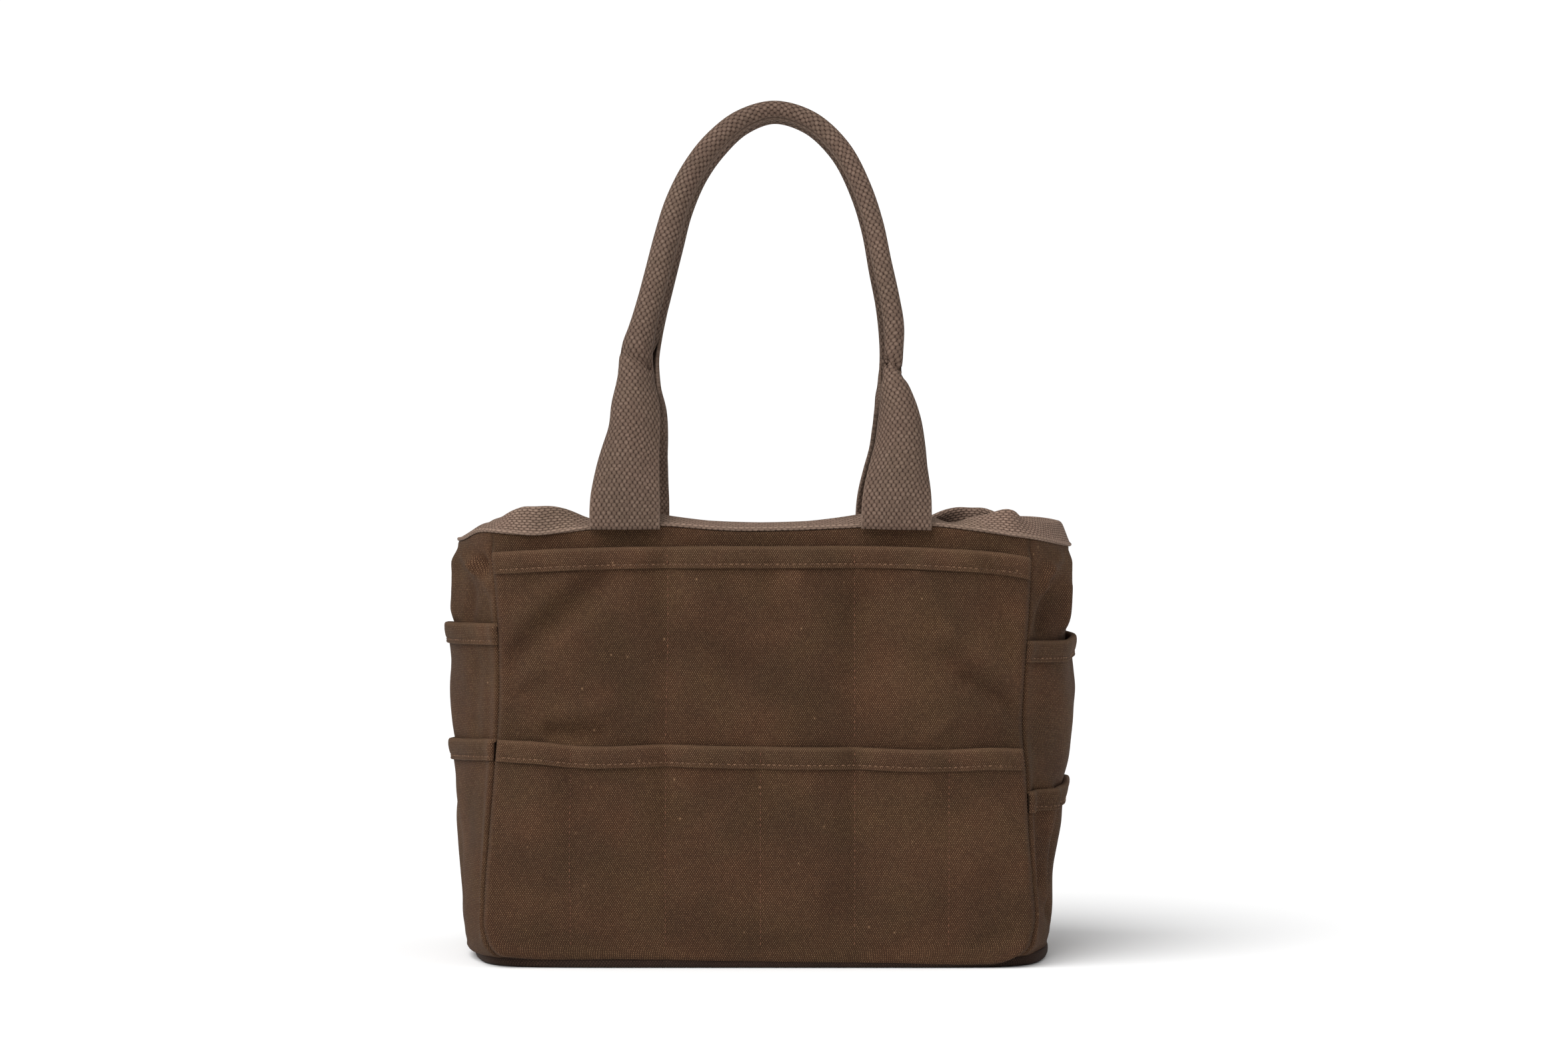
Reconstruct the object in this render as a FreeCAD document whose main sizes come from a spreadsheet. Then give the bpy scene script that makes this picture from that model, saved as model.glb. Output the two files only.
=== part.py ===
import FreeCAD, Part
import os
from FreeCAD import Placement, Rotation, Vector
from Sketcher import Constraint

# Garden tool bag: an open canvas tote with a stiffened base, two tiers of pockets on all four
# sides, a folded webbing rim and two rolled webbing handles that swing down over the long sides.
#
# Millimetres, +Z up, the front faces -Y, and the origin is the centre of the base on the ground.
# The back is the front turned half round about Z. The two ends differ only in their pocket heights.

doc = FreeCAD.newDocument("garden_tool_bag")
sheet = doc.addObject("Spreadsheet::Sheet", "Sizes")


class Size:
    """A length or angle that carries its value and the spreadsheet expression that gives it."""

    def __init__(self, value, text):
        self.value = float(value)
        self.text = text

    def _with(self, other, sign, result, swapped=False):
        other_text = other.text if isinstance(other, Size) else repr(float(other))
        pair = (other_text, self.text) if swapped else (self.text, other_text)
        return Size(result, f"({pair[0]} {sign} {pair[1]})")

    def __add__(self, other):
        return self._with(other, "+", self.value + number(other))

    def __sub__(self, other):
        return self._with(other, "-", self.value - number(other))

    def __rsub__(self, other):
        return self._with(other, "-", number(other) - self.value, swapped=True)

    def __mul__(self, other):
        return self._with(other, "*", self.value * number(other))

    def __truediv__(self, other):
        return self._with(other, "/", self.value / number(other))

    def __neg__(self):
        return Size(-self.value, f"(-1 * {self.text})")

    __radd__ = __add__
    __rmul__ = __mul__


def number(value):
    return value.value if isinstance(value, Size) else float(value)


DRIVING = [
    ("bag_length", 304.0, "between the corner seams"),
    ("bag_depth", 158.0, "between the outer faces of the two long walls"),
    ("wall_top", 252.0, "top edge of the four walls"),
    ("canvas", 1.2, "one layer of heavy canvas"),
    ("layer_room", 0.2, "room between two sewn layers"),
    ("base_rim", 6.5, "height of the base panel's turned-up edge"),
    ("board_thick", 2.5, "base stiffener"),
    ("lining_thick", 0.8, "inner canvas over the stiffener"),
    ("knee_height", 60.0, "where the pocket sheets start to slope in to the base seam"),
    ("waist_height", 138.0, "where the end walls start to swell"),
    ("bulge_height", 205.0, "where the end walls stand out furthest"),
    ("base_bow", 16.0, "how far an end wall bows out at the base"),
    ("waist_bow", 18.5, "how far it bows out from the knee to the waist"),
    ("bulge_bow", 26.0, "how far it bows out at the bulge"),
    ("rim_bow", 24.0, "how far it bows out at the rim"),
    ("pocket_foot", 7.0, "bottom of every pocket"),
    ("pocket_sheet", 1.0, "pocket canvas"),
    ("pocket_gap", 5.4, "open depth of a long-side pocket"),
    ("toe_thick", 1.8, "pocket thickness where it meets the base seam"),
    ("seam_width", 2.4, "a stitched-down line of pocket canvas"),
    ("side_inset", 0.2, "pocket edge behind the corner seam"),
    ("divider_pitch", 53.5, "between a long side's stitched dividers"),
    ("long_upper_top", 239.0, "mouth of the long sides' upper pockets"),
    ("long_lower_top", 129.0, "mouth of the long sides' lower pockets"),
    ("left_upper_top", 195.0, "mouth of the left end's upper pocket"),
    ("left_lower_top", 130.0, "mouth of the left end's lower pocket"),
    ("right_upper_top", 190.0, "mouth of the right end's upper pocket"),
    ("right_lower_top", 103.0, "mouth of the right end's lower pocket"),
    ("end_upper_gap", 6.3, "open depth of an end's upper pocket"),
    ("end_mouth_reach", 33.4, "how far that pocket's gaping mouth bows out"),
    ("end_lower_gap", 6.0, "open depth of an end's lower pocket"),
    ("hem_height", 12.5, "folded hem round a pocket mouth"),
    ("hem_leaf", 0.8, "one leaf of the folded hem"),
    ("rim_bottom", 247.0, "lower edge of the webbing rim"),
    ("rim_height", 16.5, "webbing rim, folded over the walls' top edge"),
    ("rim_leaf", 1.8, "rim webbing thickness"),
    ("rim_clear", 0.5, "room between rim webbing and walls"),
    ("tape_reach", 8.0, "seam tape, from the seam inward"),
    ("tape_thick", 2.4, "seam tape round the seam allowance"),
    ("tape_stand", 3.4, "seam tape root, in from the corner along each wall"),
    ("strap_width", 40.0, "handle webbing"),
    ("strap_thick", 2.2, "handle webbing thickness"),
    ("strap_offset", 77.0, "handle leg centre from the middle of the bag"),
    ("tab_height", 16.5, "sewn-down end of a handle strap"),
    ("pivot_stand", 1.5, "handle fold line outside the sewn-down end"),
    ("pivot_rise", 2.0, "handle fold line above the sewn-down end"),
    ("handle_lean", 18.5, "degrees that a handle leans in to meet the other"),
    ("handle_start", 1.6, "strap start above the fold line"),
    ("strap_neck", 46.0, "where the strap is half gathered"),
    ("neck_width", 26.0, "strap width there"),
    ("neck_thick", 6.5, "strap thickness there"),
    ("grip_start", 90.0, "where the rolled grip starts"),
    ("grip_half_span", 72.0, "half the grip's span where it starts"),
    ("grip_rise", 155.0, "grip height above its start"),
    ("grip_crown", 40.0, "radius of the grip's top bend"),
    ("grip_radius", 6.5, "outside of the rolled webbing"),
    ("core_radius", 4.0, "cotton cord inside the roll"),
    ("core_clear", 0.2, "room between cord and webbing"),
    ("roll_slit", 0.6, "gap where the rolled webbing's edges meet"),
    ("thread_width", 0.9, "stitch line"),
    ("thread_proud", 0.5, "stitch line above the canvas"),
    ("thread_rise", 2.2, "hem stitch line above the hem's lower edge"),
]


def fill_sheet():
    """Writes the driving dimensions and returns them as Size values by name."""
    found = {}
    for row, (name, value, meaning) in enumerate(DRIVING, start=1):
        sheet.set(f"A{row}", name)
        sheet.set(f"B{row}", repr(value))
        sheet.set(f"C{row}", meaning)
        sheet.setAlias(f"B{row}", name)
        found[name] = Size(value, f"Sizes.{name}")
    doc.recompute()
    return found


s = fill_sheet()
AS_DRAWN = Placement()
HALF_TURN = Placement(Vector(0, 0, 0), Rotation(Vector(0, 0, 1), 180))
nodes = []


# ---------------------------------------------------------------- building blocks


def bind(thing, prop, size):
    """Sets a property and ties it to the sheet."""
    if isinstance(size, Size):
        thing.setExpression(prop, size.text)


def new_body(label, placement=AS_DRAWN):
    body = doc.addObject("PartDesign::Body", label)
    body.Label = label
    body.Placement = placement
    nodes.append(body)
    return body


def sketch_on(body, role, offset=0.0):
    """An empty sketch on one of the body's own origin planes, moved along its normal."""
    sketch = body.newObject("Sketcher::SketchObject", f"{body.Name}_sketch")
    plane = next(f for f in body.Origin.OriginFeatures if f.Role == role)
    sketch.AttachmentSupport = (plane, "")
    sketch.MapMode = "FlatFace"
    sketch.AttachmentOffset = Placement(Vector(0, 0, number(offset)), Rotation())
    bind(sketch, "AttachmentOffset.Base.z", offset)
    return sketch


def fix_point(sketch, geometry, end, at):
    """Dimensions one end of a piece of geometry from the sketch origin."""
    for kind, value, axis in (("DistanceX", at[0], -2), ("DistanceY", at[1], -1)):
        if number(value) == 0:
            sketch.addConstraint(Constraint("PointOnObject", geometry, end, axis))
            continue
        made = sketch.addConstraint(Constraint(kind, -1, 1, geometry, end, number(value)))
        bind(sketch, f"Constraints[{made}]", value)


def end_at(sketch, geometry, point):
    """Which end of the geometry, 1 or 2, lies at the point."""
    first = sketch.getPoint(geometry, 1)
    return 1 if (first - point).Length < 1e-6 else 2


def draw(sketch, steps, closed=True):
    """Draws a fully dimensioned outline.

    A step is (x, y) for a corner, or (x, y, mid_x, mid_y) for a corner whose edge to the next
    corner is an arc through the middle point.
    """
    corners = [Vector(number(step[0]), number(step[1]), 0) for step in steps]
    edges = len(steps) if closed else len(steps) - 1
    made = []
    for i in range(edges):
        here, there = corners[i], corners[(i + 1) % len(steps)]
        if len(steps[i]) == 4:
            middle = Vector(number(steps[i][2]), number(steps[i][3]), 0)
            geometry = sketch.addGeometry(Part.Arc(here, middle, there), False)
            point = sketch.addGeometry(Part.Point(middle), True)
            sketch.addConstraint(Constraint("PointOnObject", point, 1, geometry))
            fix_point(sketch, point, 1, (steps[i][2], steps[i][3]))
        else:
            geometry = sketch.addGeometry(Part.LineSegment(here, there), False)
        made.append(geometry)
    for i, geometry in enumerate(made):
        fix_point(sketch, geometry, end_at(sketch, geometry, corners[i]), steps[i])
        if closed or i + 1 < len(made):
            after = made[(i + 1) % len(made)]
            meeting = corners[(i + 1) % len(steps)]
            ends = (end_at(sketch, geometry, meeting), end_at(sketch, after, meeting))
            sketch.addConstraint(Constraint("Coincident", geometry, ends[0], after, ends[1]))
    if not closed:
        last = corners[-1]
        fix_point(sketch, made[-1], end_at(sketch, made[-1], last), steps[-1])
    return sketch


def pad(body, sketch, length, kind="Pad"):
    """Pads, or pockets, a sketch along its own normal."""
    feature = body.newObject(f"PartDesign::{kind}", f"{body.Name}_{kind.lower()}")
    feature.Profile = sketch
    feature.Length = number(length)
    bind(feature, "Length", length)
    if kind == "Pocket":
        feature.Reversed = True
    doc.recompute()
    return feature


def loft(body, sketches):
    feature = body.newObject("PartDesign::AdditiveLoft", f"{body.Name}_loft")
    feature.Profile = sketches[0]
    feature.Sections = sketches[1:]
    feature.Ruled = True
    doc.recompute()
    return feature


def repeat(body, feature, sketch, span, times):
    """Repeats a feature evenly along the normal of its sketch."""
    pattern = body.newObject("PartDesign::LinearPattern", f"{body.Name}_pattern")
    pattern.Originals = [feature]
    pattern.Direction = (sketch, ["N_Axis"])
    pattern.Length = number(span)
    bind(pattern, "Length", span)
    pattern.Occurrences = times
    body.Tip = pattern
    doc.recompute()
    return pattern


def block(name, corner, size):
    """A Part box from its lowest corner and its size."""
    box = doc.addObject("Part::Box", name)
    for prop, value in zip(("Length", "Width", "Height"), size):
        setattr(box, prop, number(value))
        bind(box, prop, value)
    box.Placement.Base = Vector(*(number(c) for c in corner))
    for axis, value in zip("xyz", corner):
        bind(box, f"Placement.Base.{axis}", value)
    return box


def compound(label, members):
    """Several separate solids kept as one node."""
    group = doc.addObject("Part::Compound", label)
    group.Label = label
    group.Links = members
    nodes.append(group)
    doc.recompute()
    return group


# ---------------------------------------------------------------- shared outlines

half_length = s["bag_length"] / 2
half_depth = s["bag_depth"] / 2
end_chord = half_depth - s["canvas"] - s["layer_room"]
pocket_half = half_length - s["side_inset"]


def ring_outline(grow, bow):
    """The bag's plan outline, grown outward by a distance: two straight sides, two bowed ends."""
    x, y = half_length + grow, half_depth + grow
    return [(-x, -y), (x, -y, x + bow, 0), (x, y), (-x, y, -(x + bow), 0)]


def end_strip(root, bow, thick):
    """Plan of a bowed sheet on the left end, from its inner face outward.

    root is the inner face's distance from the middle at the corners, and bow is how much
    further out it is at mid depth.
    """
    outer = root + thick
    return [
        (-root, -end_chord),
        (-outer, -end_chord, -(outer + bow), 0),
        (-outer, end_chord),
        (-root, end_chord, -(root + bow), 0),
    ]


# ---------------------------------------------------------------- walls and base


def long_wall(label, placement):
    body = new_body(label, placement)
    foot = s["canvas"] + s["layer_room"]
    outline = [
        (-half_length, foot),
        (half_length, foot),
        (half_length, s["wall_top"]),
        (-half_length, s["wall_top"]),
    ]
    sketch = draw(sketch_on(body, "XZ_Plane", half_depth - s["canvas"]), outline)
    pad(body, sketch, s["canvas"])


def end_wall(label, placement):
    body = new_body(label, placement)
    root = half_length - s["canvas"]
    levels = [
        (s["canvas"] + s["layer_room"], s["base_bow"]),
        (s["knee_height"], s["waist_bow"]),
        (s["waist_height"], s["waist_bow"]),
        (s["bulge_height"], s["bulge_bow"]),
        (s["rim_bottom"], s["rim_bow"]),
        (s["wall_top"], s["rim_bow"]),
    ]
    sections = [
        draw(sketch_on(body, "XY_Plane", z), end_strip(root, bow, s["canvas"]))
        for z, bow in levels
    ]
    loft(body, sections)


def base_panel():
    """Outer base canvas: a shallow tray whose turned-up edge is sewn round the walls."""
    body = new_body("base_panel")
    grow = s["layer_room"] + s["canvas"]
    outer = draw(sketch_on(body, "XY_Plane"), ring_outline(grow, s["base_bow"] + 0.6))
    pad(body, outer, s["base_rim"])
    inner = draw(
        sketch_on(body, "XY_Plane", s["canvas"]),
        ring_outline(s["layer_room"], s["base_bow"] + 0.6),
    )
    pad(body, inner, s["base_rim"] - s["canvas"] + 1, "Pocket")


def base_layer(label, low, thick):
    """A flat layer inside the walls: the stiffener board or the lining over it."""
    body = new_body(label)
    inward = -(s["canvas"] + s["layer_room"] * 3)
    sketch = draw(sketch_on(body, "XY_Plane", low), ring_outline(inward, s["base_bow"]))
    pad(body, sketch, thick)


def base_seam_tape(low):
    """Cotton tape folded round the base seam allowance, a ring inside the walls."""
    body = new_body("base_seam_tape")
    inward = -(s["canvas"] + s["layer_room"] * 2)
    outer = draw(sketch_on(body, "XY_Plane", low), ring_outline(inward, s["base_bow"]))
    pad(body, outer, s["tape_reach"])
    inner_outline = ring_outline(inward - s["tape_thick"], s["base_bow"])
    pad(body, draw(sketch_on(body, "XY_Plane", low), inner_outline), s["tape_reach"], "Pocket")


def corner_seam_tape(label, sign_x, sign_y, low):
    """Cotton tape folded round a corner seam allowance, standing in from the corner."""
    body = new_body(label)
    x = half_length - s["canvas"] - s["tape_stand"]
    y = half_depth - s["canvas"] - s["tape_stand"]
    reach, half = s["tape_reach"], s["tape_thick"] * 0.7
    outline = [
        (x * sign_x, (y + half) * sign_y),
        ((x - reach) * sign_x, (y + half - reach) * sign_y),
        ((x - reach + half) * sign_x, (y - reach) * sign_y),
        ((x + half) * sign_x, y * sign_y),
    ]
    height = s["rim_bottom"] - low - 1
    pad(body, draw(sketch_on(body, "XY_Plane", low), outline), height)


def rim_webbing():
    """One long webbing strip folded over the walls' top edge, all the way round the mouth."""
    body = new_body("rim_webbing")
    outward = s["rim_clear"] + s["rim_leaf"]
    inward = -(s["canvas"] + s["rim_clear"] + s["rim_leaf"])
    low, bow = s["rim_bottom"], s["rim_bow"]
    pad(body, draw(sketch_on(body, "XY_Plane", low), ring_outline(outward, bow)), s["rim_height"])
    mouth = draw(sketch_on(body, "XY_Plane", low), ring_outline(inward, bow))
    pad(body, mouth, s["rim_height"] + 1, "Pocket")
    groove = sketch_on(body, "XY_Plane", low)
    draw(groove, ring_outline(s["rim_clear"], bow))
    draw(groove, ring_outline(-(s["canvas"] + s["rim_clear"]), bow))
    pad(body, groove, s["rim_height"] - s["rim_leaf"] - 1, "Pocket")


# ---------------------------------------------------------------- long-side pockets


def pocket_faces(foot, stand):
    """Distances out from the middle of a pocket's back and sheet, at its foot and above the knee.

    foot and stand are where the layer behind it lies at those two heights.
    """
    sheet_in = stand + s["pocket_gap"]
    return {
        "foot_in": foot,
        "foot_out": foot + s["toe_thick"],
        "back": stand,
        "sheet_in": sheet_in,
        "sheet_out": sheet_in + s["pocket_sheet"],
    }


upper = pocket_faces(half_depth + s["layer_room"], half_depth + s["layer_room"])
lower = pocket_faces(upper["foot_out"] + s["layer_room"], upper["sheet_out"] + s["layer_room"])


def long_pocket(label, placement, face, top, dividers, spacing):
    """A pocket sheet held off the layer behind it by its two edges and its stitched dividers."""
    body = new_body(label, placement)
    foot, knee = s["pocket_foot"], s["knee_height"]
    hem_top = top - s["hem_leaf"] * 2
    toe = s["pocket_sheet"] * 1.5
    sheet_profile = [
        (-face["foot_in"], foot),
        (-face["foot_out"], foot),
        (-face["sheet_out"], knee),
        (-face["sheet_out"], hem_top),
        (-face["sheet_in"], hem_top),
        (-face["sheet_in"], knee),
        (-(face["foot_out"] - s["pocket_sheet"] * 0.6), foot + toe),
        (-face["foot_in"], foot + toe),
    ]
    pad(body, draw(sketch_on(body, "YZ_Plane", -pocket_half), sheet_profile), pocket_half * 2)
    seam_top = top - s["hem_height"] - s["layer_room"] * 2
    middle = s["pocket_sheet"] / 2
    seam_profile = [
        (-face["foot_in"], foot),
        (-(face["foot_out"] - middle), foot),
        (-(face["sheet_out"] - middle), knee),
        (-(face["sheet_out"] - middle), seam_top),
        (-face["back"], seam_top),
        (-face["back"], knee),
    ]
    span = spacing * (dividers - 1)
    for x in (-pocket_half, pocket_half - s["seam_width"]):
        pad(body, draw(sketch_on(body, "YZ_Plane", x), seam_profile), s["seam_width"])
    first = draw(sketch_on(body, "YZ_Plane", -(span + s["seam_width"]) / 2), seam_profile)
    seam = pad(body, first, s["seam_width"])
    repeat(body, seam, first, span, dividers)


def long_hem(label, placement, face, top):
    """Canvas strip folded over a long pocket's mouth."""
    body = new_body(label, placement)
    low, slot_top = top - s["hem_height"], top - s["hem_leaf"]
    slack, leaf = s["layer_room"] / 2, s["hem_leaf"]
    near, far = face["sheet_in"] - slack, face["sheet_out"] + slack
    profile = [
        (-near, low),
        (-near, slot_top),
        (-far, slot_top),
        (-far, low),
        (-(far + leaf), low),
        (-(far + leaf), top),
        (-(near - leaf), top),
        (-(near - leaf), low),
    ]
    pad(body, draw(sketch_on(body, "YZ_Plane", -pocket_half), profile), pocket_half * 2)


def divider_thread(name, placement, face, x, low, top):
    """One stitch line down the outside of a long pocket, as a body that is not its own node."""
    body = doc.addObject("PartDesign::Body", name)
    body.Placement = placement
    air = s["layer_room"] / 4
    foot, knee, out = s["pocket_foot"], s["knee_height"], s["thread_proud"]
    near, far = face["sheet_out"] + air, face["sheet_out"] + air + out
    if number(low) < number(knee):
        foot_near = face["foot_out"] + air
        profile = [
            (-foot_near, foot),
            (-(foot_near + out), foot),
            (-far, knee),
            (-far, top),
            (-near, top),
            (-near, knee),
        ]
    else:
        profile = [(-near, low), (-far, low), (-far, top), (-near, top)]
    sketch = draw(sketch_on(body, "YZ_Plane", x - s["thread_width"] / 2), profile)
    pad(body, sketch, s["thread_width"])
    return body


def divider_stitching(label, placement):
    """The stitch lines that divide a long side's pockets."""
    pitch = s["divider_pitch"]
    lower_top = s["long_lower_top"] - s["hem_height"] - s["layer_room"]
    upper_top = s["long_upper_top"] - s["hem_height"] - s["layer_room"]
    above_lower = s["long_lower_top"] + s["layer_room"]
    foot = s["pocket_foot"]
    lines = [
        divider_thread(f"{label}_lower_{i + 3}", placement, lower, pitch * i, foot, lower_top)
        for i in range(-2, 3)
    ]
    for name, i in (("left", -1), ("right", 1)):
        line = f"{label}_upper_{name}"
        lines.append(divider_thread(line, placement, upper, pitch * i, above_lower, upper_top))
    compound(label, lines)


def long_hem_stitching(label, sign):
    """The stitch lines along both hems of one long side."""
    out, air = s["thread_proud"], s["layer_room"] / 4
    lines = []
    for name, face, top in (
        ("upper", upper, s["long_upper_top"]),
        ("lower", lower, s["long_lower_top"]),
    ):
        hem_out = face["sheet_out"] + s["layer_room"] / 2 + s["hem_leaf"] + air
        near = hem_out if sign > 0 else -(hem_out + out)
        low = top - s["hem_height"] + s["thread_rise"]
        size = (pocket_half * 2, out, s["thread_width"])
        lines.append(block(f"{label}_{name}", (-pocket_half, near, low), size))
    compound(label, lines)


# ---------------------------------------------------------------- end pockets

hem_room = s["hem_leaf"] + s["layer_room"] * 1.5
upper_root = half_length + hem_room
lower_root = upper_root + s["pocket_sheet"] + hem_room
upper_middle = half_length + s["waist_bow"] + s["end_upper_gap"]
lower_middle = upper_middle + s["pocket_sheet"] + s["layer_room"] + s["end_lower_gap"]


def between(low, high, height):
    """The value at a height on the straight line from low to high, each (height, value)."""
    return low[1] + (high[1] - low[1]) * ((height - low[0]) / (high[0] - low[0]))


def end_sheet(body, levels, thick):
    """A bowed sheet through (height, distance out at mid depth) levels of its inner face.

    At the corners every sheet stays on its own short root, so all the gap is in the bow.
    """
    sections = [
        draw(sketch_on(body, "XY_Plane", z), end_strip(root, middle - root, thick))
        for z, root, middle in levels
    ]
    return loft(body, sections)


def end_upper_pocket(label, placement, top, mouth):
    """mouth is how far out its sheet stands at its top edge."""
    body = new_body(label, placement)
    at_foot = half_length + s["base_bow"] + s["layer_room"] * 4
    levels = [
        (s["pocket_foot"], upper_root, at_foot),
        (s["knee_height"], upper_root, upper_middle),
        (s["waist_height"], upper_root, upper_middle),
        (top - s["hem_leaf"] * 2, upper_root, mouth),
    ]
    end_sheet(body, levels, s["pocket_sheet"])


def end_lower_pocket(label, placement, top):
    body = new_body(label, placement)
    at_foot = half_length + s["base_bow"] + s["layer_room"] * 6 + s["pocket_sheet"]
    levels = [
        (s["pocket_foot"], lower_root, at_foot),
        (s["knee_height"], lower_root, lower_middle),
        (top - s["hem_leaf"] * 2, lower_root, lower_middle),
    ]
    end_sheet(body, levels, s["pocket_sheet"])


def end_hem(label, placement, root, middle_low, middle_top, top):
    """Canvas strip folded over an end pocket's mouth, following the sheet inside it."""
    body = new_body(label, placement)
    slack, leaf = s["layer_room"] / 2, s["hem_leaf"]
    reach = leaf + slack
    low = top - s["hem_height"]
    slope = (middle_top - middle_low) / s["hem_height"]
    outside = [(low, root - reach, middle_low - reach), (top, root - reach, middle_top - reach)]
    end_sheet(body, outside, s["pocket_sheet"] + reach * 2)
    slot = [
        draw(
            sketch_on(body, "XY_Plane", z),
            end_strip(root - slack, middle - root, s["pocket_sheet"] + slack * 2),
        )
        for z, middle in ((low, middle_low), (top - leaf, middle_top - slope * leaf))
    ]
    cut = body.newObject("PartDesign::SubtractiveLoft", f"{body.Name}_slot")
    cut.Profile = slot[0]
    cut.Sections = slot[1:]
    cut.Ruled = True
    doc.recompute()


def end_thread(name, placement, root, middle_low, middle_top, top):
    """The stitch line along an end hem, as a body that is not its own node."""
    body = doc.addObject("PartDesign::Body", name)
    body.Placement = placement
    out = s["pocket_sheet"] + s["hem_leaf"] + s["layer_room"] / 2 + s["layer_room"] / 4
    rise, line = s["thread_rise"], s["thread_width"]
    slope = (middle_top - middle_low) / s["hem_height"]
    levels = [
        (top - s["hem_height"] + up, root + out, middle_low + slope * up + out)
        for up in (rise, rise + line)
    ]
    end_sheet(body, levels, s["thread_proud"])
    return body


def end_pockets(side, placement, upper_top, lower_top):
    """Both pockets of one end, with their hems and the hems' stitching."""
    sheet_top = upper_top - s["hem_leaf"] * 2
    mouth = half_length + s["end_mouth_reach"]
    sheet_ends = ((s["waist_height"], upper_middle), (sheet_top, mouth))
    at_hem = between(*sheet_ends, upper_top - s["hem_height"])
    at_top = between(*sheet_ends, upper_top)
    end_upper_pocket(f"{side}_upper_pocket", placement, upper_top, mouth)
    end_lower_pocket(f"{side}_lower_pocket", placement, lower_top)
    upper_hem = (placement, upper_root, at_hem, at_top, upper_top)
    lower_hem = (placement, lower_root, lower_middle, lower_middle, lower_top)
    end_hem(f"{side}_upper_pocket_hem", *upper_hem)
    end_hem(f"{side}_lower_pocket_hem", *lower_hem)
    label = f"{side}_hem_stitching"
    threads = [end_thread(f"{label}_upper", *upper_hem), end_thread(f"{label}_lower", *lower_hem)]
    compound(label, threads)


# ---------------------------------------------------------------- handles

tab_in = half_depth + s["rim_clear"] + s["rim_leaf"] + s["layer_room"]
tab_out = tab_in + s["strap_thick"]
pivot_out = tab_out + s["pivot_stand"]
pivot_height = s["rim_bottom"] + s["tab_height"] + s["pivot_rise"]


def handle_tabs(prefix, sign):
    """The sewn-down ends of one handle's strap, outside the webbing rim."""
    y = -tab_out if sign < 0 else tab_in
    for name, x in (("left", -s["strap_offset"]), ("right", s["strap_offset"])):
        corner = (x - s["strap_width"] / 2, y, s["rim_bottom"])
        size = (s["strap_width"], s["strap_thick"], s["tab_height"])
        tab = block(f"{prefix}_{name}_handle_tab", corner, size)
        tab.Label = f"{prefix}_{name}_handle_tab"
        nodes.append(tab)


def place_handle(body, sign):
    """Stands a handle, drawn upright over its fold line, on the rim and leans it inward."""
    body.Placement = Placement(
        Vector(0, number(pivot_out) * sign, number(pivot_height)),
        Rotation(Vector(sign, 0, 0), number(s["handle_lean"])),
    )
    bind(body, "Placement.Base.y", pivot_out * sign)
    bind(body, "Placement.Base.z", pivot_height)
    bind(body, "Placement.Rotation.Angle", s["handle_lean"])


def flat_oval(width, thick):
    """Plan of a strap section: two flats joined by two round edges, centred on the origin."""
    x, y = (width - thick) / 2, thick / 2
    return [(-x, -y), (x, -y, x + y, 0), (x, y), (-x, y, -(x + y), 0)]


def shifted(outline, x):
    """The same outline moved along the sketch's first axis."""
    moved = []
    for step in outline:
        corner = (step[0] + x, step[1])
        moved.append(corner if len(step) == 2 else corner + (step[2] + x, step[3]))
    return moved


def grip_path(body):
    """The grip's arch: a long side arc, a round crown and a long side arc, all tangent."""
    start, span = s["grip_start"], s["grip_half_span"]
    crown, lift = s["grip_crown"], s["grip_rise"] - s["grip_crown"]
    side = (lift * lift + span * span - crown * crown) / ((span - crown) * 2)
    side_x = side - span
    meet_x = crown * (side_x / (side - crown))
    meet_z = start + lift + crown * (lift / (side - crown))
    # the side arc's middle lies on the ray from its centre through the middle of its chord
    dx, dz = (span + meet_x) / 2 + side_x, (meet_z - start) / 2
    reach = Size(
        side.value / (dx.value**2 + dz.value**2) ** 0.5,
        f"({side.text} / sqrt({dx.text} * {dx.text} + {dz.text} * {dz.text}))",
    )
    middle_x, middle_z = dx * reach - side_x, dz * reach + start
    steps = [
        (-span, start, -middle_x, middle_z),
        (-meet_x, meet_z, 0, start + s["grip_rise"]),
        (meet_x, meet_z, middle_x, middle_z),
        (span, start),
    ]
    return draw(sketch_on(body, "XZ_Plane"), steps, closed=False)


def sweep(body, profile, path):
    feature = body.newObject("PartDesign::AdditivePipe", f"{body.Name}_pipe")
    feature.Profile = profile
    feature.Spine = path
    doc.recompute()
    return feature


def handle_strap(label, sign):
    """Webbing strap: flat at both ends, gathered up each leg and rolled round its cord.

    The roll's edges meet on the side that faces the other handle.
    """
    body = new_body(label)
    inward = -sign
    roll, hollow = s["grip_radius"] * inward, (s["core_radius"] + s["core_clear"]) * inward
    slit, x = s["roll_slit"] / 2, -s["grip_half_span"]
    profile = sketch_on(body, "XY_Plane", s["grip_start"])
    steps = [
        (x - slit, hollow, x, -hollow),
        (x + slit, hollow),
        (x + slit, roll, x, -roll),
        (x - slit, roll),
    ]
    draw(profile, steps)
    sweep(body, profile, grip_path(body))
    grip = s["grip_radius"] * 2
    for side in (-1, 1):
        levels = [
            (s["handle_start"], s["strap_width"], s["strap_thick"], s["strap_offset"]),
            (s["strap_neck"], s["neck_width"], s["neck_thick"], s["strap_offset"] - 2),
            (s["grip_start"], grip + 0.6, grip, s["grip_half_span"]),
        ]
        sections = [
            draw(
                sketch_on(body, "XY_Plane", z),
                shifted(flat_oval(width, thick), centre * side),
            )
            for z, width, thick, centre in levels
        ]
        loft(body, sections)
    place_handle(body, sign)


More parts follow.
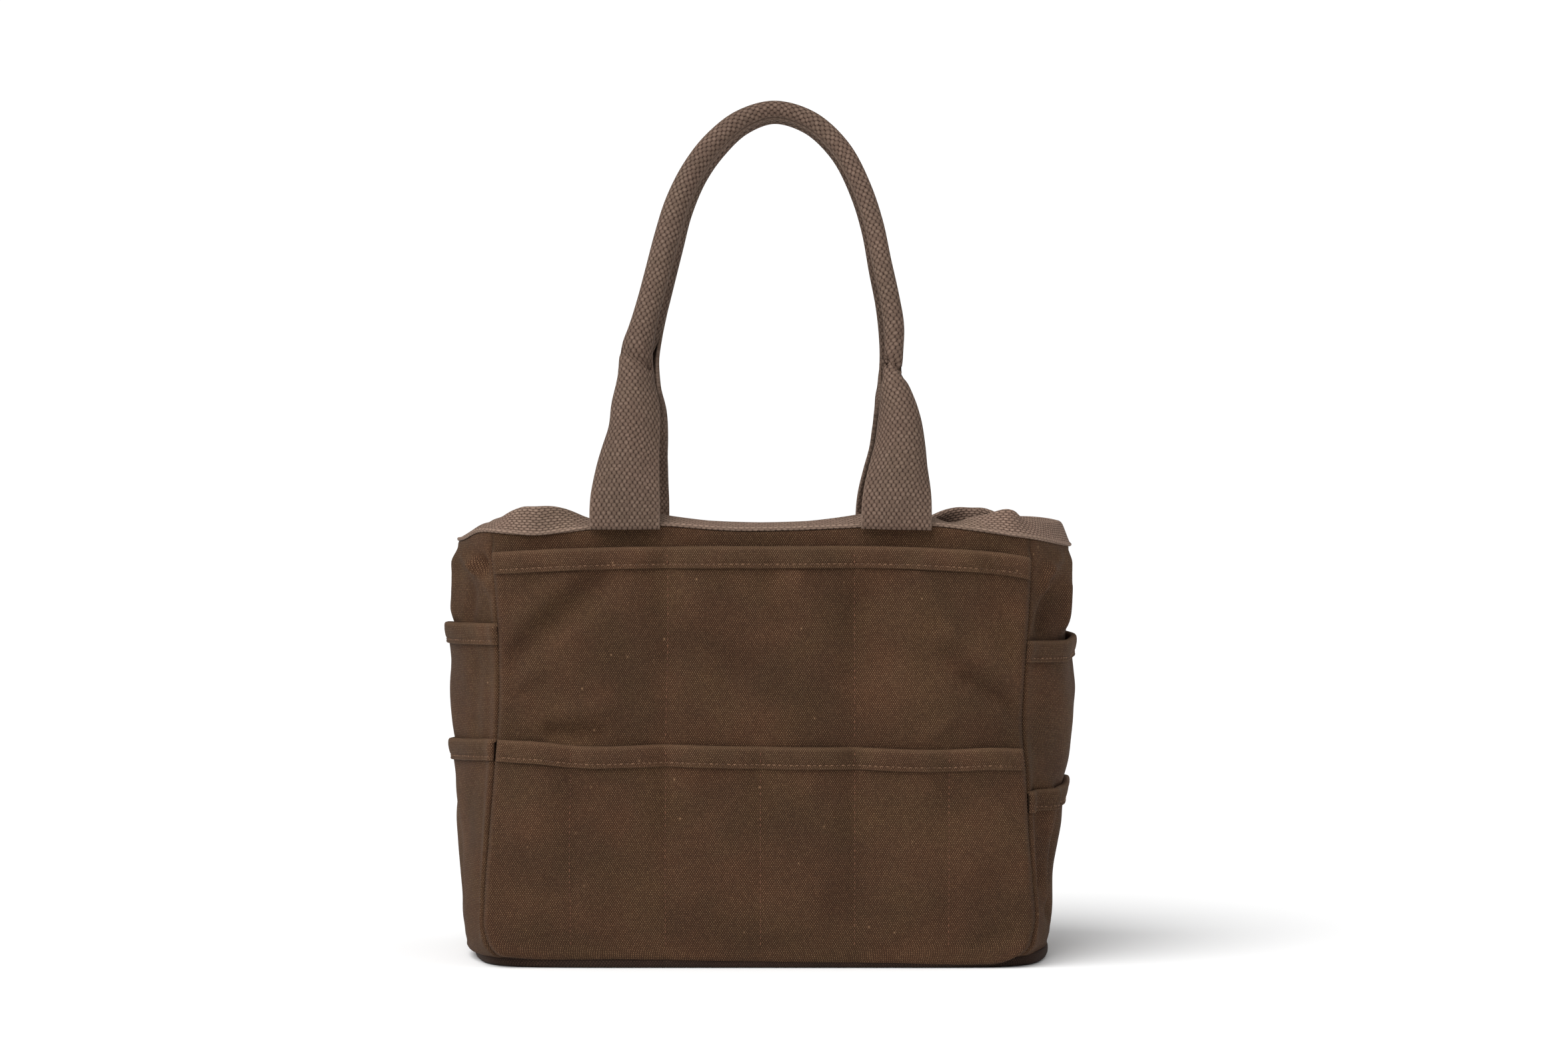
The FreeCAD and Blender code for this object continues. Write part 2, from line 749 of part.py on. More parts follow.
def handle_core(label, sign):
    """Cotton cord inside the rolled grip."""
    body = new_body(label)
    profile = sketch_on(body, "XY_Plane", s["grip_start"])
    centre = Vector(-s["grip_half_span"].value, 0, 0)
    outline = Part.Circle(centre, Vector(0, 0, 1), s["core_radius"].value)
    circle = profile.addGeometry(outline, False)
    fix_point(profile, circle, 3, (-s["grip_half_span"], 0))
    made = profile.addConstraint(Constraint("Radius", circle, s["core_radius"].value))
    bind(profile, f"Constraints[{made}]", s["core_radius"])
    sweep(body, profile, grip_path(body))
    place_handle(body, sign)


# ---------------------------------------------------------------- the bag

for side, turn, sign in (("front", AS_DRAWN, -1), ("back", HALF_TURN, 1)):
    long_wall(f"{side}_panel", turn)
    long_pocket(f"{side}_upper_pocket", turn, upper, s["long_upper_top"], 2, s["divider_pitch"] * 2)
    long_hem(f"{side}_upper_pocket_hem", turn, upper, s["long_upper_top"])
    long_pocket(f"{side}_lower_pocket", turn, lower, s["long_lower_top"], 5, s["divider_pitch"])
    long_hem(f"{side}_lower_pocket_hem", turn, lower, s["long_lower_top"])
    divider_stitching(f"{side}_divider_stitching", turn)
    long_hem_stitching(f"{side}_hem_stitching", sign)
    handle_tabs(side, sign)
    handle_strap(f"{side}_handle_strap", sign)
    handle_core(f"{side}_handle_core", sign)

for side, turn in (("left", AS_DRAWN), ("right", HALF_TURN)):
    end_wall(f"{side}_gusset", turn)
    end_pockets(side, turn, s[f"{side}_upper_top"], s[f"{side}_lower_top"])

board_low = s["canvas"] + s["layer_room"]
lining_low = board_low + s["board_thick"] + s["layer_room"]
tape_low = lining_low + s["lining_thick"] + s["layer_room"]
base_panel()
base_layer("base_board", board_low, s["board_thick"])
base_layer("base_lining", lining_low, s["lining_thick"])
base_seam_tape(tape_low)
for name, sign_x, sign_y in (
    ("front_left", -1, -1),
    ("front_right", 1, -1),
    ("back_left", -1, 1),
    ("back_right", 1, 1),
):
    corner_seam_tape(f"{name}_seam_tape", sign_x, sign_y, tape_low + s["tape_reach"] + 0.5)
rim_webbing()

doc.recompute()
for thing in doc.Objects:
    if "Invalid" in thing.State or "Error" in thing.State:
        raise RuntimeError(f"{thing.Label} failed: {thing.State}")

os.makedirs("parts", exist_ok=True)
for node in nodes:
    shape = node.Shape
    if shape.isNull() or not shape.isValid() or not shape.Solids:
        raise RuntimeError(f"{node.Label} has no valid solid")
    shape.exportStep(f"parts/{node.Label}.step")
    box = shape.optimalBoundingBox()
    print(
        f"{node.Label}: {len(shape.Solids)} solid(s), {shape.Volume:.0f} mm3, "
        f"x {box.XMin:.1f} to {box.XMax:.1f}, y {box.YMin:.1f} to {box.YMax:.1f}, "
        f"z {box.ZMin:.1f} to {box.ZMax:.1f}"
    )
print(f"{len(nodes)} nodes")
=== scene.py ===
import math

import bpy
import numpy as np
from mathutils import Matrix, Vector


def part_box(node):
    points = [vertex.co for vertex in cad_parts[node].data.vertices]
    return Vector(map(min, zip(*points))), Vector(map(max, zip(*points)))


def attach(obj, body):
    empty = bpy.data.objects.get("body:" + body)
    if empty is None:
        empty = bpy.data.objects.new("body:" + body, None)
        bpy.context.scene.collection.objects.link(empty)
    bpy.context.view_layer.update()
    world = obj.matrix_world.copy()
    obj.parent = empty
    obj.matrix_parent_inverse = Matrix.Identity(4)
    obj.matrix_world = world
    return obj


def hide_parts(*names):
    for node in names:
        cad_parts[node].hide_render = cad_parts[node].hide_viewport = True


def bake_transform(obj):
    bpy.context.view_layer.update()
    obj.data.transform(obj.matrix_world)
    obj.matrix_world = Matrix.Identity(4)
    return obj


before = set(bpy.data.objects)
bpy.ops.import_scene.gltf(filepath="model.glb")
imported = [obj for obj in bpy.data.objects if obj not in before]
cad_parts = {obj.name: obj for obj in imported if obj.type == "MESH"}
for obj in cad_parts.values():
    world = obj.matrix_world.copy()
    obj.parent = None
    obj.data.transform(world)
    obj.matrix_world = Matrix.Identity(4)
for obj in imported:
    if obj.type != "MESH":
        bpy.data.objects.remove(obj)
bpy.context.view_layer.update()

# A washed-canvas garden tool bag. Shapes are worked out in millimetres, in the frame's own axes, and
# turned to metres when a mesh is made. The four walls run anticlockwise seen from above:
# front, right, back, left. "q" goes from -1 to 1 along a wall and "z" is the height.

MM = 0.001
UV_NAME = "cloth_mm"  # the cloth's own coordinates, in millimetres
GRID = 2.2  # spacing of the points of a sheet


def corners(node):
    low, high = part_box(node)
    return np.array(low) / MM, np.array(high) / MM


BASE_HIGH = corners("base_panel")[1]
RIM_LOW = corners("rim_webbing")[0]
WALL_Y = -corners("front_panel")[0][1]  # the outer face of the long walls
SEAM_Y = WALL_Y - 2.5  # where a long wall meets an end wall
FOOT = corners("front_upper_pocket")[0][2]  # the pockets' lower edge
MIDDLE_Z = 120.0  # the height at which a wall's width is read
CANVAS, POCKET_CLOTH, WEBBING = 1.2, 1.0, 2.2  # thicknesses
PANEL_TALL = 0.258  # a wall's cut height, in metres
STRAP_WIDTH = 40.0


# ---------------------------------------------------------------- curves and meshes

def through(points, at):
    """A smooth curve through a few (place, value) points, read at the given places."""
    place, value = np.array(points, float).T
    slope = np.gradient(value, place)
    at = np.asarray(at, float)
    i = np.clip(np.searchsorted(place, at) - 1, 0, len(place) - 2)
    gap = place[i + 1] - place[i]
    t = np.clip((at - place[i]) / gap, 0, 1)
    rise = value[i] * (2 * t ** 3 - 3 * t ** 2 + 1) + value[i + 1] * (3 * t ** 2 - 2 * t ** 3)
    return rise + gap * (slope[i] * (t ** 3 - 2 * t ** 2 + t) + slope[i + 1] * (t ** 3 - t ** 2))


def step(low, high, at):
    """0 below low, 1 above high, and smooth between them."""
    t = np.clip((np.asarray(at, float) - low) / (high - low), 0, 1)
    return t * t * (3 - 2 * t)


def unit(vectors):
    return vectors / np.maximum(np.linalg.norm(vectors, axis=-1, keepdims=True), 1e-9)


def travel(path):
    """The distance travelled at each point of a path."""
    return np.concatenate([[0], np.cumsum(np.linalg.norm(np.diff(path, axis=0), axis=-1))])


def table(u, v):
    """Cloth coordinates from the rows' u and the columns' v."""
    return np.stack(np.broadcast_arrays(np.asarray(u)[:, None], np.asarray(v)[None, :]), -1)


def add_object(name, data):
    obj = bpy.data.objects.new(name, data)
    bpy.context.scene.collection.objects.link(obj)
    return obj


def make_mesh(name, points, faces, uv, edge, material, lap=None):
    """A mesh object from millimetre points, with the cloth's coordinates and its worn-edge share.
    lap is the cloth's length where quads close a loop, so that the weave runs on over the join."""
    mesh = bpy.data.meshes.new(name)
    mesh.from_pydata((points * MM).tolist(), [], faces)
    mesh.polygons.foreach_set("use_smooth", [True] * len(mesh.polygons))
    corner_vertex = np.zeros(len(mesh.loops), np.int32)
    mesh.loops.foreach_get("vertex_index", corner_vertex)
    uv = uv[corner_vertex]
    if lap:
        quads = uv.reshape(-1, 4, 2)
        behind = quads[..., 0] < quads[..., 0].max(axis=1, keepdims=True) - lap / 2
        quads[..., 0] += lap * behind
    mesh.uv_layers.new(name=UV_NAME).data.foreach_set("uv", uv.astype(np.float32).ravel())
    mesh.attributes.new("edge", "FLOAT", "POINT").data.foreach_set("value", edge.astype(np.float32))
    mesh.materials.append(material)
    mesh.update()
    return add_object(name, mesh)


def grid_faces(rows, columns, first=0, flip=False, wrap_rows=False, wrap_columns=False):
    """Quads of a grid of points that is stored row by row."""
    r = np.arange(rows if wrap_rows else rows - 1)
    c = np.arange(columns if wrap_columns else columns - 1)
    r, c = (a.ravel() for a in np.meshgrid(r, c, indexing="ij"))
    r1, c1 = (r + 1) % rows, (c + 1) % columns
    quads = np.stack([r * columns + c, r1 * columns + c, r1 * columns + c1, r * columns + c1], 1) + first
    return (quads[:, ::-1] if flip else quads).tolist()


def normals(grid):
    along = np.gradient(grid, axis=0)
    across = np.gradient(grid, axis=1)
    return unit(np.cross(along, across))


def caps(rows, columns, first=0):
    """The two end faces of a tube of points."""
    last = first + (rows - 1) * columns
    return [list(range(first, first + columns)), list(range(last, last + columns))[::-1]]


def sheet_mesh(name, outer, thickness, material, uv, edge=None):
    """A closed sheet of cloth: an outer grid, the same grid set back by its thickness, and a rim."""
    rows, columns = outer.shape[:2]
    inner = outer - normals(outer) * thickness
    edge = np.zeros((rows, columns)) if edge is None else edge
    count = rows * columns
    faces = grid_faces(rows, columns) + grid_faces(rows, columns, count, flip=True)
    index = np.arange(count).reshape(rows, columns)
    border = np.concatenate([index[:, 0], index[-1, 1:], index[-2::-1, -1], index[0, -2:0:-1]])
    following = np.roll(border, -1)
    faces += np.stack([border, border + count, following + count, following], 1).tolist()
    points = np.concatenate([outer.reshape(-1, 3), inner.reshape(-1, 3)])
    return make_mesh(name, points, faces, np.tile(uv.reshape(-1, 2), (2, 1)), np.tile(edge.ravel(), 2), material)


def band_mesh(name, grid, material, closed, uv, edge=None, lap=None):
    """A strip whose closed section (second axis) is carried along a path (first axis)."""
    rows, columns = grid.shape[:2]
    edge = np.zeros((rows, columns)) if edge is None else edge
    faces = grid_faces(rows, columns, wrap_rows=closed, wrap_columns=True)
    if not closed:
        faces += caps(rows, columns)
    return make_mesh(name, grid.reshape(-1, 3), faces, uv.reshape(-1, 2), edge.ravel(), material, lap)


def swept(path, section, first, second):
    """A section's points carried along a path, by the two directions of the section's plane."""
    return path[:, None] + section[None, :, :1] * first + section[None, :, 1:] * second


def hash_place(name):
    """Where a piece was cut from the roll, so that no two pieces show the same yarns."""
    return float(sum((i + 3) * ord(letter) for i, letter in enumerate(name)) % 997)


def finish_piece(obj, body, nodes):
    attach(obj, body)
    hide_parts(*nodes)
    return obj


# ---------------------------------------------------------------- materials

class Shader:
    """A material's node tree, built by short calls."""

    def __init__(self, name):
        self.material = bpy.data.materials.new(name)
        self.material.use_nodes = True
        self.tree = self.material.node_tree
        self.surface = self.tree.nodes["Principled BSDF"]

    def node(self, kind, *values, **settings):
        made = self.tree.nodes.new("ShaderNode" + kind)
        for key, value in settings.items():
            setattr(made, key, value)
        for i, value in enumerate(values):
            self.feed(made.inputs[i], value)
        return made

    def feed(self, socket, value):
        if isinstance(value, bpy.types.NodeSocket):
            self.tree.links.new(value, socket)
        elif value is not None:
            socket.default_value = value

    def maths(self, operation, *values):
        return self.node("Math", *values, operation=operation).outputs[0]

    def mix(self, share, first, second, blend="MIX"):
        made = self.node("Mix", data_type="RGBA", blend_type=blend)
        self.feed(made.inputs[0], share)
        self.feed(made.inputs[6], first)
        self.feed(made.inputs[7], second)
        return made.outputs[2]

    def dress(self, node, values):
        """Sets or feeds a node's inputs by name."""
        for key, value in values.items():
            self.feed(node.inputs[key], value)
        return node

    def noise_node(self, place, scale, detail, roughness):
        return self.dress(self.node("TexNoise", noise_dimensions="3D"),
                          {"Vector": place, "Scale": scale, "Detail": detail, "Roughness": roughness})

    def bump(self, height, strength, distance):
        values = {"Height": height, "Strength": strength, "Distance": distance * MM}
        return self.dress(self.node("Bump"), values).outputs[0]

    def noise(self, place, scale, detail=2.0, roughness=0.5):
        return self.noise_node(place, scale, detail, roughness).outputs["Fac"]

    def spread(self, value, low, high, new_low=0.0, new_high=1.0):
        made = self.node("MapRange", value, low, high, new_low, new_high)
        made.interpolation_type = "SMOOTHSTEP"
        return made.outputs[0]


def linear(red, green, blue):
    """A colour given as 0-255 screen values, as the shader's own numbers."""
    def one(value):
        value = value / 255
        return value / 12.92 if value <= 0.04045 else ((value + 0.055) / 1.055) ** 2.4
    return (one(red), one(green), one(blue), 1.0)


def woven(name, cell, blob, colours, bump, ramp=(0.0, 0.45, 0.55, 1.0), patches=1.0, top_highlight_share=0.8,
          edge_share=0.5, specks=0.0, rough=(0.95, 0.8)):
    """Cloth of crossing yarns. Each yarn shows as a small oval hill, blob its half width and half
    height, and the rows are offset by half a cell; cell is (across, from row to row), all in
    millimetres. colours are those of the gaps, painted shade between the yarns, of the yarns, and of
    their pale tops, a painted highlight; ramp says at which heights of the hill one turns into the next."""
    # gap is painted shade between the yarns; pale is the painted highlight on the yarns' tops, and the colour of the
    # worn edges.
    gap, yarn, pale = (linear(*colour) for colour in colours)
    s = Shader(name)
    place = s.node("UVMap", uv_map=UV_NAME).outputs[0]
    split = s.node("SeparateXYZ", place)
    jitter = s.node("SeparateXYZ", s.noise_node(place, 0.9 / cell[0], 2.0, 0.6).outputs["Color"])
    wide = s.node("SeparateXYZ", s.noise_node(place, 0.08, 3.0, 0.5).outputs["Color"])
    u, v = (s.maths("MULTIPLY_ADD", jitter.outputs[i], 0.5 * cell[i],
                    s.maths("MULTIPLY_ADD", wide.outputs[i], 1.6, split.outputs[i])) for i in (0, 1))

    def hills(shift):
        """Every second row of hills, with a number for each hill."""
        fall, number = [], []
        for way, pitch, half in ((u, cell[0], blob[0]), (v, 2 * cell[1], blob[1])):
            count = s.maths("MULTIPLY_ADD", way, 1 / pitch, shift)
            off = s.maths("MULTIPLY", s.maths("SUBTRACT", s.maths("FRACT", count), 0.5), pitch / half)
            fall.append(s.maths("MULTIPLY", off, off))
            number.append(s.maths("FLOOR", count))
        height = s.maths("SUBTRACT", 1.0, s.maths("ADD", *fall))
        return s.maths("MAXIMUM", height, 0.0), s.node("CombineXYZ", *number, shift * 10).outputs[0]

    first, first_number = hills(0.0)
    second, second_number = hills(0.5)
    hill = s.maths("MAXIMUM", first, second)
    chosen = s.node("Mix", data_type="VECTOR")
    s.feed(chosen.inputs[0], s.maths("GREATER_THAN", second, first))
    s.feed(chosen.inputs[4], first_number)
    s.feed(chosen.inputs[5], second_number)
    own = s.node("TexWhiteNoise", chosen.outputs[1], noise_dimensions="3D")
    fuzz = s.noise(place, 2.2, 4.0, 0.7)
    share = s.spread(own.outputs[0], 0.0, 1.0, 0.25, top_highlight_share)
    # top: where the painted highlight on each yarn's crown is laid, varied from yarn to yarn.
    top = s.maths("MULTIPLY", s.spread(hill, ramp[2], ramp[3]), share)
    # The gaps' painted shade where the hill is low, turning into the yarn colour above it.
    colour = s.mix(s.spread(hill, ramp[0], ramp[1]), gap, yarn)
    colour = s.mix(top, colour, pale)
    broad = s.spread(s.noise(place, 0.020, 3.0, 0.55), 0.3, 0.7, 1.0 - 0.16 * patches, 1.0 + 0.16 * patches)
    close = s.spread(s.noise(place, 0.3, 3.0, 0.6), 0.25, 0.75, 0.92, 1.08)
    shade = s.maths("MULTIPLY", s.maths("MULTIPLY", broad, close), s.spread(fuzz, 0.25, 0.75, 0.88, 1.12))
    hue = s.noise(place, 0.028, 2.0, 0.5)
    colour = s.mix(s.spread(hue, 0.42, 0.70, 0.0, 0.4 * patches), colour, (1.04, 0.90, 0.88, 1.0), "MULTIPLY")
    colour = s.mix(s.spread(hue, 0.56, 0.30, 0.0, 0.4 * patches), colour, (0.93, 1.0, 0.86, 1.0), "MULTIPLY")
    colour = s.mix(1.0, colour, s.node("CombineXYZ", shade, shade, shade).outputs[0], "MULTIPLY")
    edge = s.node("Attribute", attribute_name="edge").outputs["Fac"]
    colour = s.mix(s.maths("MULTIPLY", edge, edge_share), colour, pale)
    if specks:
        speck = s.node("SeparateXYZ", own.outputs["Color"]).outputs[1]
        colour = s.mix(s.spread(speck, 1.0 - specks, 1.0, 0.0, 0.38), colour, linear(168, 132, 100))
    s.dress(s.surface, {
        "Base Color": colour, "Roughness": s.spread(hill, 0.0, 1.0, *rough), "Sheen Weight": 0.04,
        "Sheen Roughness": 0.5, "Sheen Tint": linear(190, 160, 135), "Specular IOR Level": 0.18,
        "Normal": s.bump(s.maths("MULTIPLY_ADD", fuzz, 0.35, s.maths("POWER", hill, 0.6)), *bump)})
    return s.material


def plain(name, dark, light, scale, rough, bump):
    """Yarn, board or cord: one substance with fine grain."""
    s = Shader(name)
    place = s.node("UVMap", uv_map=UV_NAME).outputs[0]
    grain = s.noise(place, scale, 4.0, 0.65)
    s.dress(s.surface, {
        "Base Color": s.mix(s.spread(grain, 0.35, 0.65), linear(*dark), linear(*light)),
        "Roughness": s.spread(grain, 0.2, 0.8, rough - 0.08, rough + 0.08),
        "Specular IOR Level": 0.3, "Normal": s.bump(grain, *bump)})
    return s.material


# The woven cloths' colours below: painted shade in the gaps, the yarn, and a painted highlight on the yarns' tops.
CANVAS_WEAVE = ((1.25, 1.0), (0.60, 0.68))  # cell and blob
canvas_cloth = woven("canvas_cloth", *CANVAS_WEAVE, [(34, 21, 11), (69, 45, 28), (116, 90, 66)], (0.9, 0.35),
                     specks=0.001)
hem_cloth = woven("hem_cloth", *CANVAS_WEAVE, [(37, 24, 14), (73, 49, 32), (120, 94, 71)], (0.9, 0.35),
                  specks=0.001)
base_cloth = woven("base_cloth", *CANVAS_WEAVE, [(26, 17, 13), (46, 31, 24), (66, 48, 38)], (0.7, 0.3))
handle_webbing = woven("handle_webbing", (2.9, 2.1), (1.38, 1.5), [(42, 30, 25), (93, 75, 64), (124, 104, 91)],
                       (0.9, 0.45), (0.0, 0.3, 0.45, 1.0), patches=0.4, edge_share=0.7)
rim_webbing_cloth = woven("rim_webbing_cloth", (3.3, 1.55), (1.7, 0.86),
                          [(62, 48, 41), (119, 98, 85), (148, 126, 111)], (0.9, 0.4), (0.0, 0.3, 0.45, 1.0),
                          patches=0.5)
tape_cloth = woven("seam_tape_cloth", (0.9, 0.9), (0.46, 0.75), [(44, 32, 25), (78, 60, 49), (98, 78, 65)],
                   (0.6, 0.25), patches=0.5)
thread_yarn = plain("thread_yarn", (70, 48, 34), (132, 100, 76), 0.45, 0.7, (0.5, 0.1))
divider_yarn = plain("divider_yarn", (74, 46, 33), (116, 78, 56), 0.45, 0.7, (0.5, 0.1))
cord_yarn = plain("cord_yarn", (150, 132, 112), (186, 168, 146), 1.2, 0.85, (0.7, 0.3))
board_plastic = plain("board_plastic", (52, 52, 54), (66, 66, 68), 0.8, 0.6, (0.3, 0.2))


# ---------------------------------------------------------------- the walls

# The corner seams, as (height, distance from the middle); front left and back right are the curved ones.
SEAM_EVEN = [(4, 144), (10, 151.5), (20, 155.3), (50, 155), (78, 152.8), (112, 151.2), (136, 149.2), (160, 150),
             (194, 152.5), (250, 155.3), (275, 155.5)]
SEAM_CURVED = [(4, 146), (9, 152), (20, 157.2), (38, 157.6), (69, 155.5), (105, 152.6), (150, 149.4), (200, 150.4),
               (237, 154), (250, 155.3), (275, 155.5)]
# How far the end walls bow out, as (height, bow).
BOW_LEFT = [(0, 27), (5, 25), (9, 20), (14, 17.4), (20, 16), (30, 15.6), (50, 17.6), (66, 20.2), (78, 21.9),
            (95, 22.9), (110, 23.6), (122, 25), (134, 27.8), (150, 29.9), (162, 30.3), (174, 29.4), (186, 29.2),
            (201, 29.4), (212, 27.6), (224, 25.8), (236, 25.6), (247, 23.8), (275, 21.5)]
BOW_RIGHT = [(0, 24), (4, 22), (8, 16), (14, 12.8), (20, 11.4), (34, 10.8), (52, 12), (66, 15.8), (76, 18.4),
             (90, 20.6), (100, 22.8), (112, 26), (128, 28.2), (145, 31), (156, 31.2), (168, 29.2), (178, 27.2),
             (190, 27.4), (204, 27.4), (218, 26.8), (230, 26.4), (247, 27.5), (275, 26)]
# The lower edge of the rim's webbing and how far the band leans in, along each wall.
RIM_EDGE_LONG = [(-1, 247.8), (-0.92, 246.9), (-0.75, 247.3), (-0.64, 249.5), (-0.5, 252.2), (-0.37, 252),
                 (-0.13, 249), (0.13, 249.3), (0.37, 251), (0.5, 252.3), (0.63, 252), (0.78, 249), (1, 244.4)]
RIM_LEAN_LONG = [(-1, 54), (-0.92, 30), (-0.83, -8), (-0.755, 16), (-0.69, 46), (-0.62, 72), (-0.5, 62), (-0.3, 72),
                 (0, 75), (0.3, 72), (0.5, 62), (0.62, 70), (0.70, 84), (0.78, 62), (0.86, 42), (0.92, 14),
                 (0.97, 30), (1, 40)]
RIM_EDGE_END = {"right": [(-1, 244.4), (-0.6, 241), (0, 240), (0.6, 244), (1, 247.8)],
                "left": [(-1, 244.4), (-0.5, 243), (0, 243), (0.3, 243), (0.57, 243.9), (0.73, 247), (0.91, 249.4),
                        (1, 248.3)]}
RIM_LEAN_END = {"right": [(-1, 40), (-0.7, 36), (-0.4, 28), (0, 22), (0.6, 34), (1, 54)],
                "left": [(-1, 40), (-0.5, 46), (0, 60), (0.3, 70), (0.57, 76), (0.73, 62), (0.91, 60), (1, 54)]}
CORNER_ROUND = 4.0  # the corners' radius
RIM_ROUND = {True: 4.5, False: 9.0}  # the same near the rim, on the long walls and on the ends
RIM_PULL = 14.0  # how far below the rim the walls start to follow its path
# How high the walls' lower edge is above the floor; the front sags over the base's edge to the right.
FOOT_LINE = {"front": [(-1, 6.4), (-0.95, 5.6), (-0.5, 4.2), (0, 3.0), (0.5, 2.2), (0.86, 1.7), (0.94, 2.4),
                       (0.98, 4.4), (1, 7.0)],
             "back": [(-1, 5.5), (-0.94, 4.4), (-0.3, 3.4), (0.4, 3.2), (0.94, 4.4), (1, 5.5)],
             "left": [(-1, 5.5), (-0.9, 4.6), (0, 4.2), (0.9, 4.6), (1, 5.5)],
             "right": [(-1, 6.5), (-0.9, 5.0), (0, 4.4), (0.9, 4.6), (1, 5.5)]}
FOOT_ROUND = 3.5  # the radius that the walls' lower edge turns in by
RIM_TUCK = 9.0  # how far a wall goes up inside the rim's webbing
FOLD_SHARE = 1.3  # how far the listed folds stand out


def dip(distance, radius):
    """How far cloth turns back over a rounded edge, at a distance from that edge."""
    left = radius - np.clip(distance, 0, radius)
    return radius - np.sqrt(np.maximum(radius ** 2 - left ** 2, 0))


def line_gap(a, z, start, end):
    """Distance from the places (a, z) to a straight line between two points."""
    along = np.array([end[0] - start[0], end[1] - start[1]], float)
    share = ((a - start[0]) * along[0] + (z - start[1]) * along[1]) / np.hypot(*along) ** 2
    near = np.clip(share, 0, 1)
    return np.hypot(a - start[0] - near * along[0], z - start[1] - near * along[1])


class Wall:
    """One side of the bag. point() turns (q, z, stand-off) into a place."""

    def __init__(self, name, folds):
        self.name = name
        self.long = name in ("front", "back")
        self.turn = 1 if name in ("front", "right") else -1
        self.folds = folds
        self.relief_grid = None  # how far the settled cloth stands out
        self.rim = None  # places along q, with the rim's path, direction and lean there

    def half_length(self, q, z):
        if self.long:
            return np.where(q < 0, through(SEAM_CURVED, z), through(SEAM_EVEN, z))
        share = (1 + q) / 2
        return through(SEAM_EVEN, z) * (1 - share) + through(SEAM_CURVED, z) * share

    def arc(self, z):
        bow = through(BOW_LEFT if self.name == "left" else BOW_RIGHT, z)
        radius = (SEAM_Y ** 2 + bow ** 2) / (2 * bow)
        return radius, np.arcsin(np.clip(SEAM_Y / radius, -1, 1))

    def across(self, q, z):
        """Distance over the cloth from the wall's middle."""
        if self.long:
            return q * self.half_length(q, z)
        radius, angle = self.arc(z)
        return q * radius * angle

    def half_width(self, z=MIDDLE_Z):
        return abs(float(self.across(np.array(1.0), np.array(z))))

    def rim_edge(self, q):
        return through(RIM_EDGE_LONG if self.long else RIM_EDGE_END[self.name], q)

    def rim_lean(self, q):
        return np.radians(through(RIM_LEAN_LONG if self.long else RIM_LEAN_END[self.name], q))

    def corner_radius(self, z):
        return CORNER_ROUND + (RIM_ROUND[self.long] - CORNER_ROUND) * step(205, 244, z)

    def foot(self, q):
        return through(FOOT_LINE[self.name], q)

    def on_rim(self, q, over, out):
        """A place on the path that the rim's webbing follows, or over it."""
        places, path = self.rim
        x, y, z, to_x, to_y, lean = (np.interp(q, places, column) for column in path.T)
        away = out * np.cos(lean) - over * np.sin(lean)
        height = z + over * np.cos(lean) + out * np.sin(lean)
        return np.stack([x + away * to_x, y + away * to_y, height], -1)

    def on_wall(self, q, z, out):
        half = self.half_length(q, z)
        if self.long:
            x, y = q * half, -(WALL_Y + out)
        else:
            radius, angle = self.arc(z)
            turned = q * angle
            x = half + radius * (np.cos(turned) - np.cos(angle)) + out * np.cos(turned)
            y = radius * np.sin(turned) + out * np.sin(turned)
        return np.stack([self.turn * x, self.turn * y, z], -1)

    def relief(self, q, z):
        """Folds and sagging that all layers of this wall share."""
        a = self.across(q, z)
        total = np.zeros(np.broadcast(a, z).shape)
        for start, end, width, depth in self.folds:
            total = total + FOLD_SHARE * depth * np.exp(-(line_gap(a, z, start, end) / width) ** 2)
        if self.relief_grid is not None:
            total = total + sampled(self.relief_grid, (q + 1) / 2, (z - FOOT) / (RIM_LOW[2] - FOOT))
        edge = half_gap(self, q, z)
        fade = step(0, 14, edge) * step(FOOT - 2, FOOT + 16, z) * (1 - step(230, 244, z))
        return total * fade

    def point(self, q, z, out, dips=True):
        q, z, out = np.broadcast_arrays(np.asarray(q, float), np.asarray(z, float), np.asarray(out, float))
        edge_z = self.rim_edge(q)
        low = np.minimum(z, edge_z)
        near_rim = step(edge_z - RIM_PULL, edge_z - 3, z)
        out = out + self.relief(q, low)
        if dips:
            corner = dip(half_gap(self, q, low), self.corner_radius(low))
            out = out - corner * (1 - near_rim) - dip(z - self.foot(q), FOOT_ROUND)
        place = self.on_wall(q, low, out)
        if self.rim is None:
            return place
        zero = np.zeros_like(q)
        shift = self.on_rim(q, zero, zero) - self.on_wall(q, edge_z, zero)
        place = place + near_rim[..., None] * shift
        return np.where((z > edge_z)[..., None], self.on_rim(q, z - edge_z, out), place)


def half_gap(wall, q, z):
    """Distance over the cloth to the nearer corner seam."""
    return (1 - np.abs(q)) * np.abs(wall.across(np.ones_like(q), z))


def sampled(grid, u, v):
    """Reads a grid of values between its points; u and v go from 0 to 1."""
    rows, columns = grid.shape
    x = np.clip(u, 0, 1) * (rows - 1)
    y = np.clip(v, 0, 1) * (columns - 1)
    i = np.minimum(x.astype(int), rows - 2)
    j = np.minimum(y.astype(int), columns - 2)
    a, b = x - i, y - j
    return ((1 - a) * (1 - b) * grid[i, j] + a * (1 - b) * grid[i + 1, j]
            + (1 - a) * b * grid[i, j + 1] + a * b * grid[i + 1, j + 1])


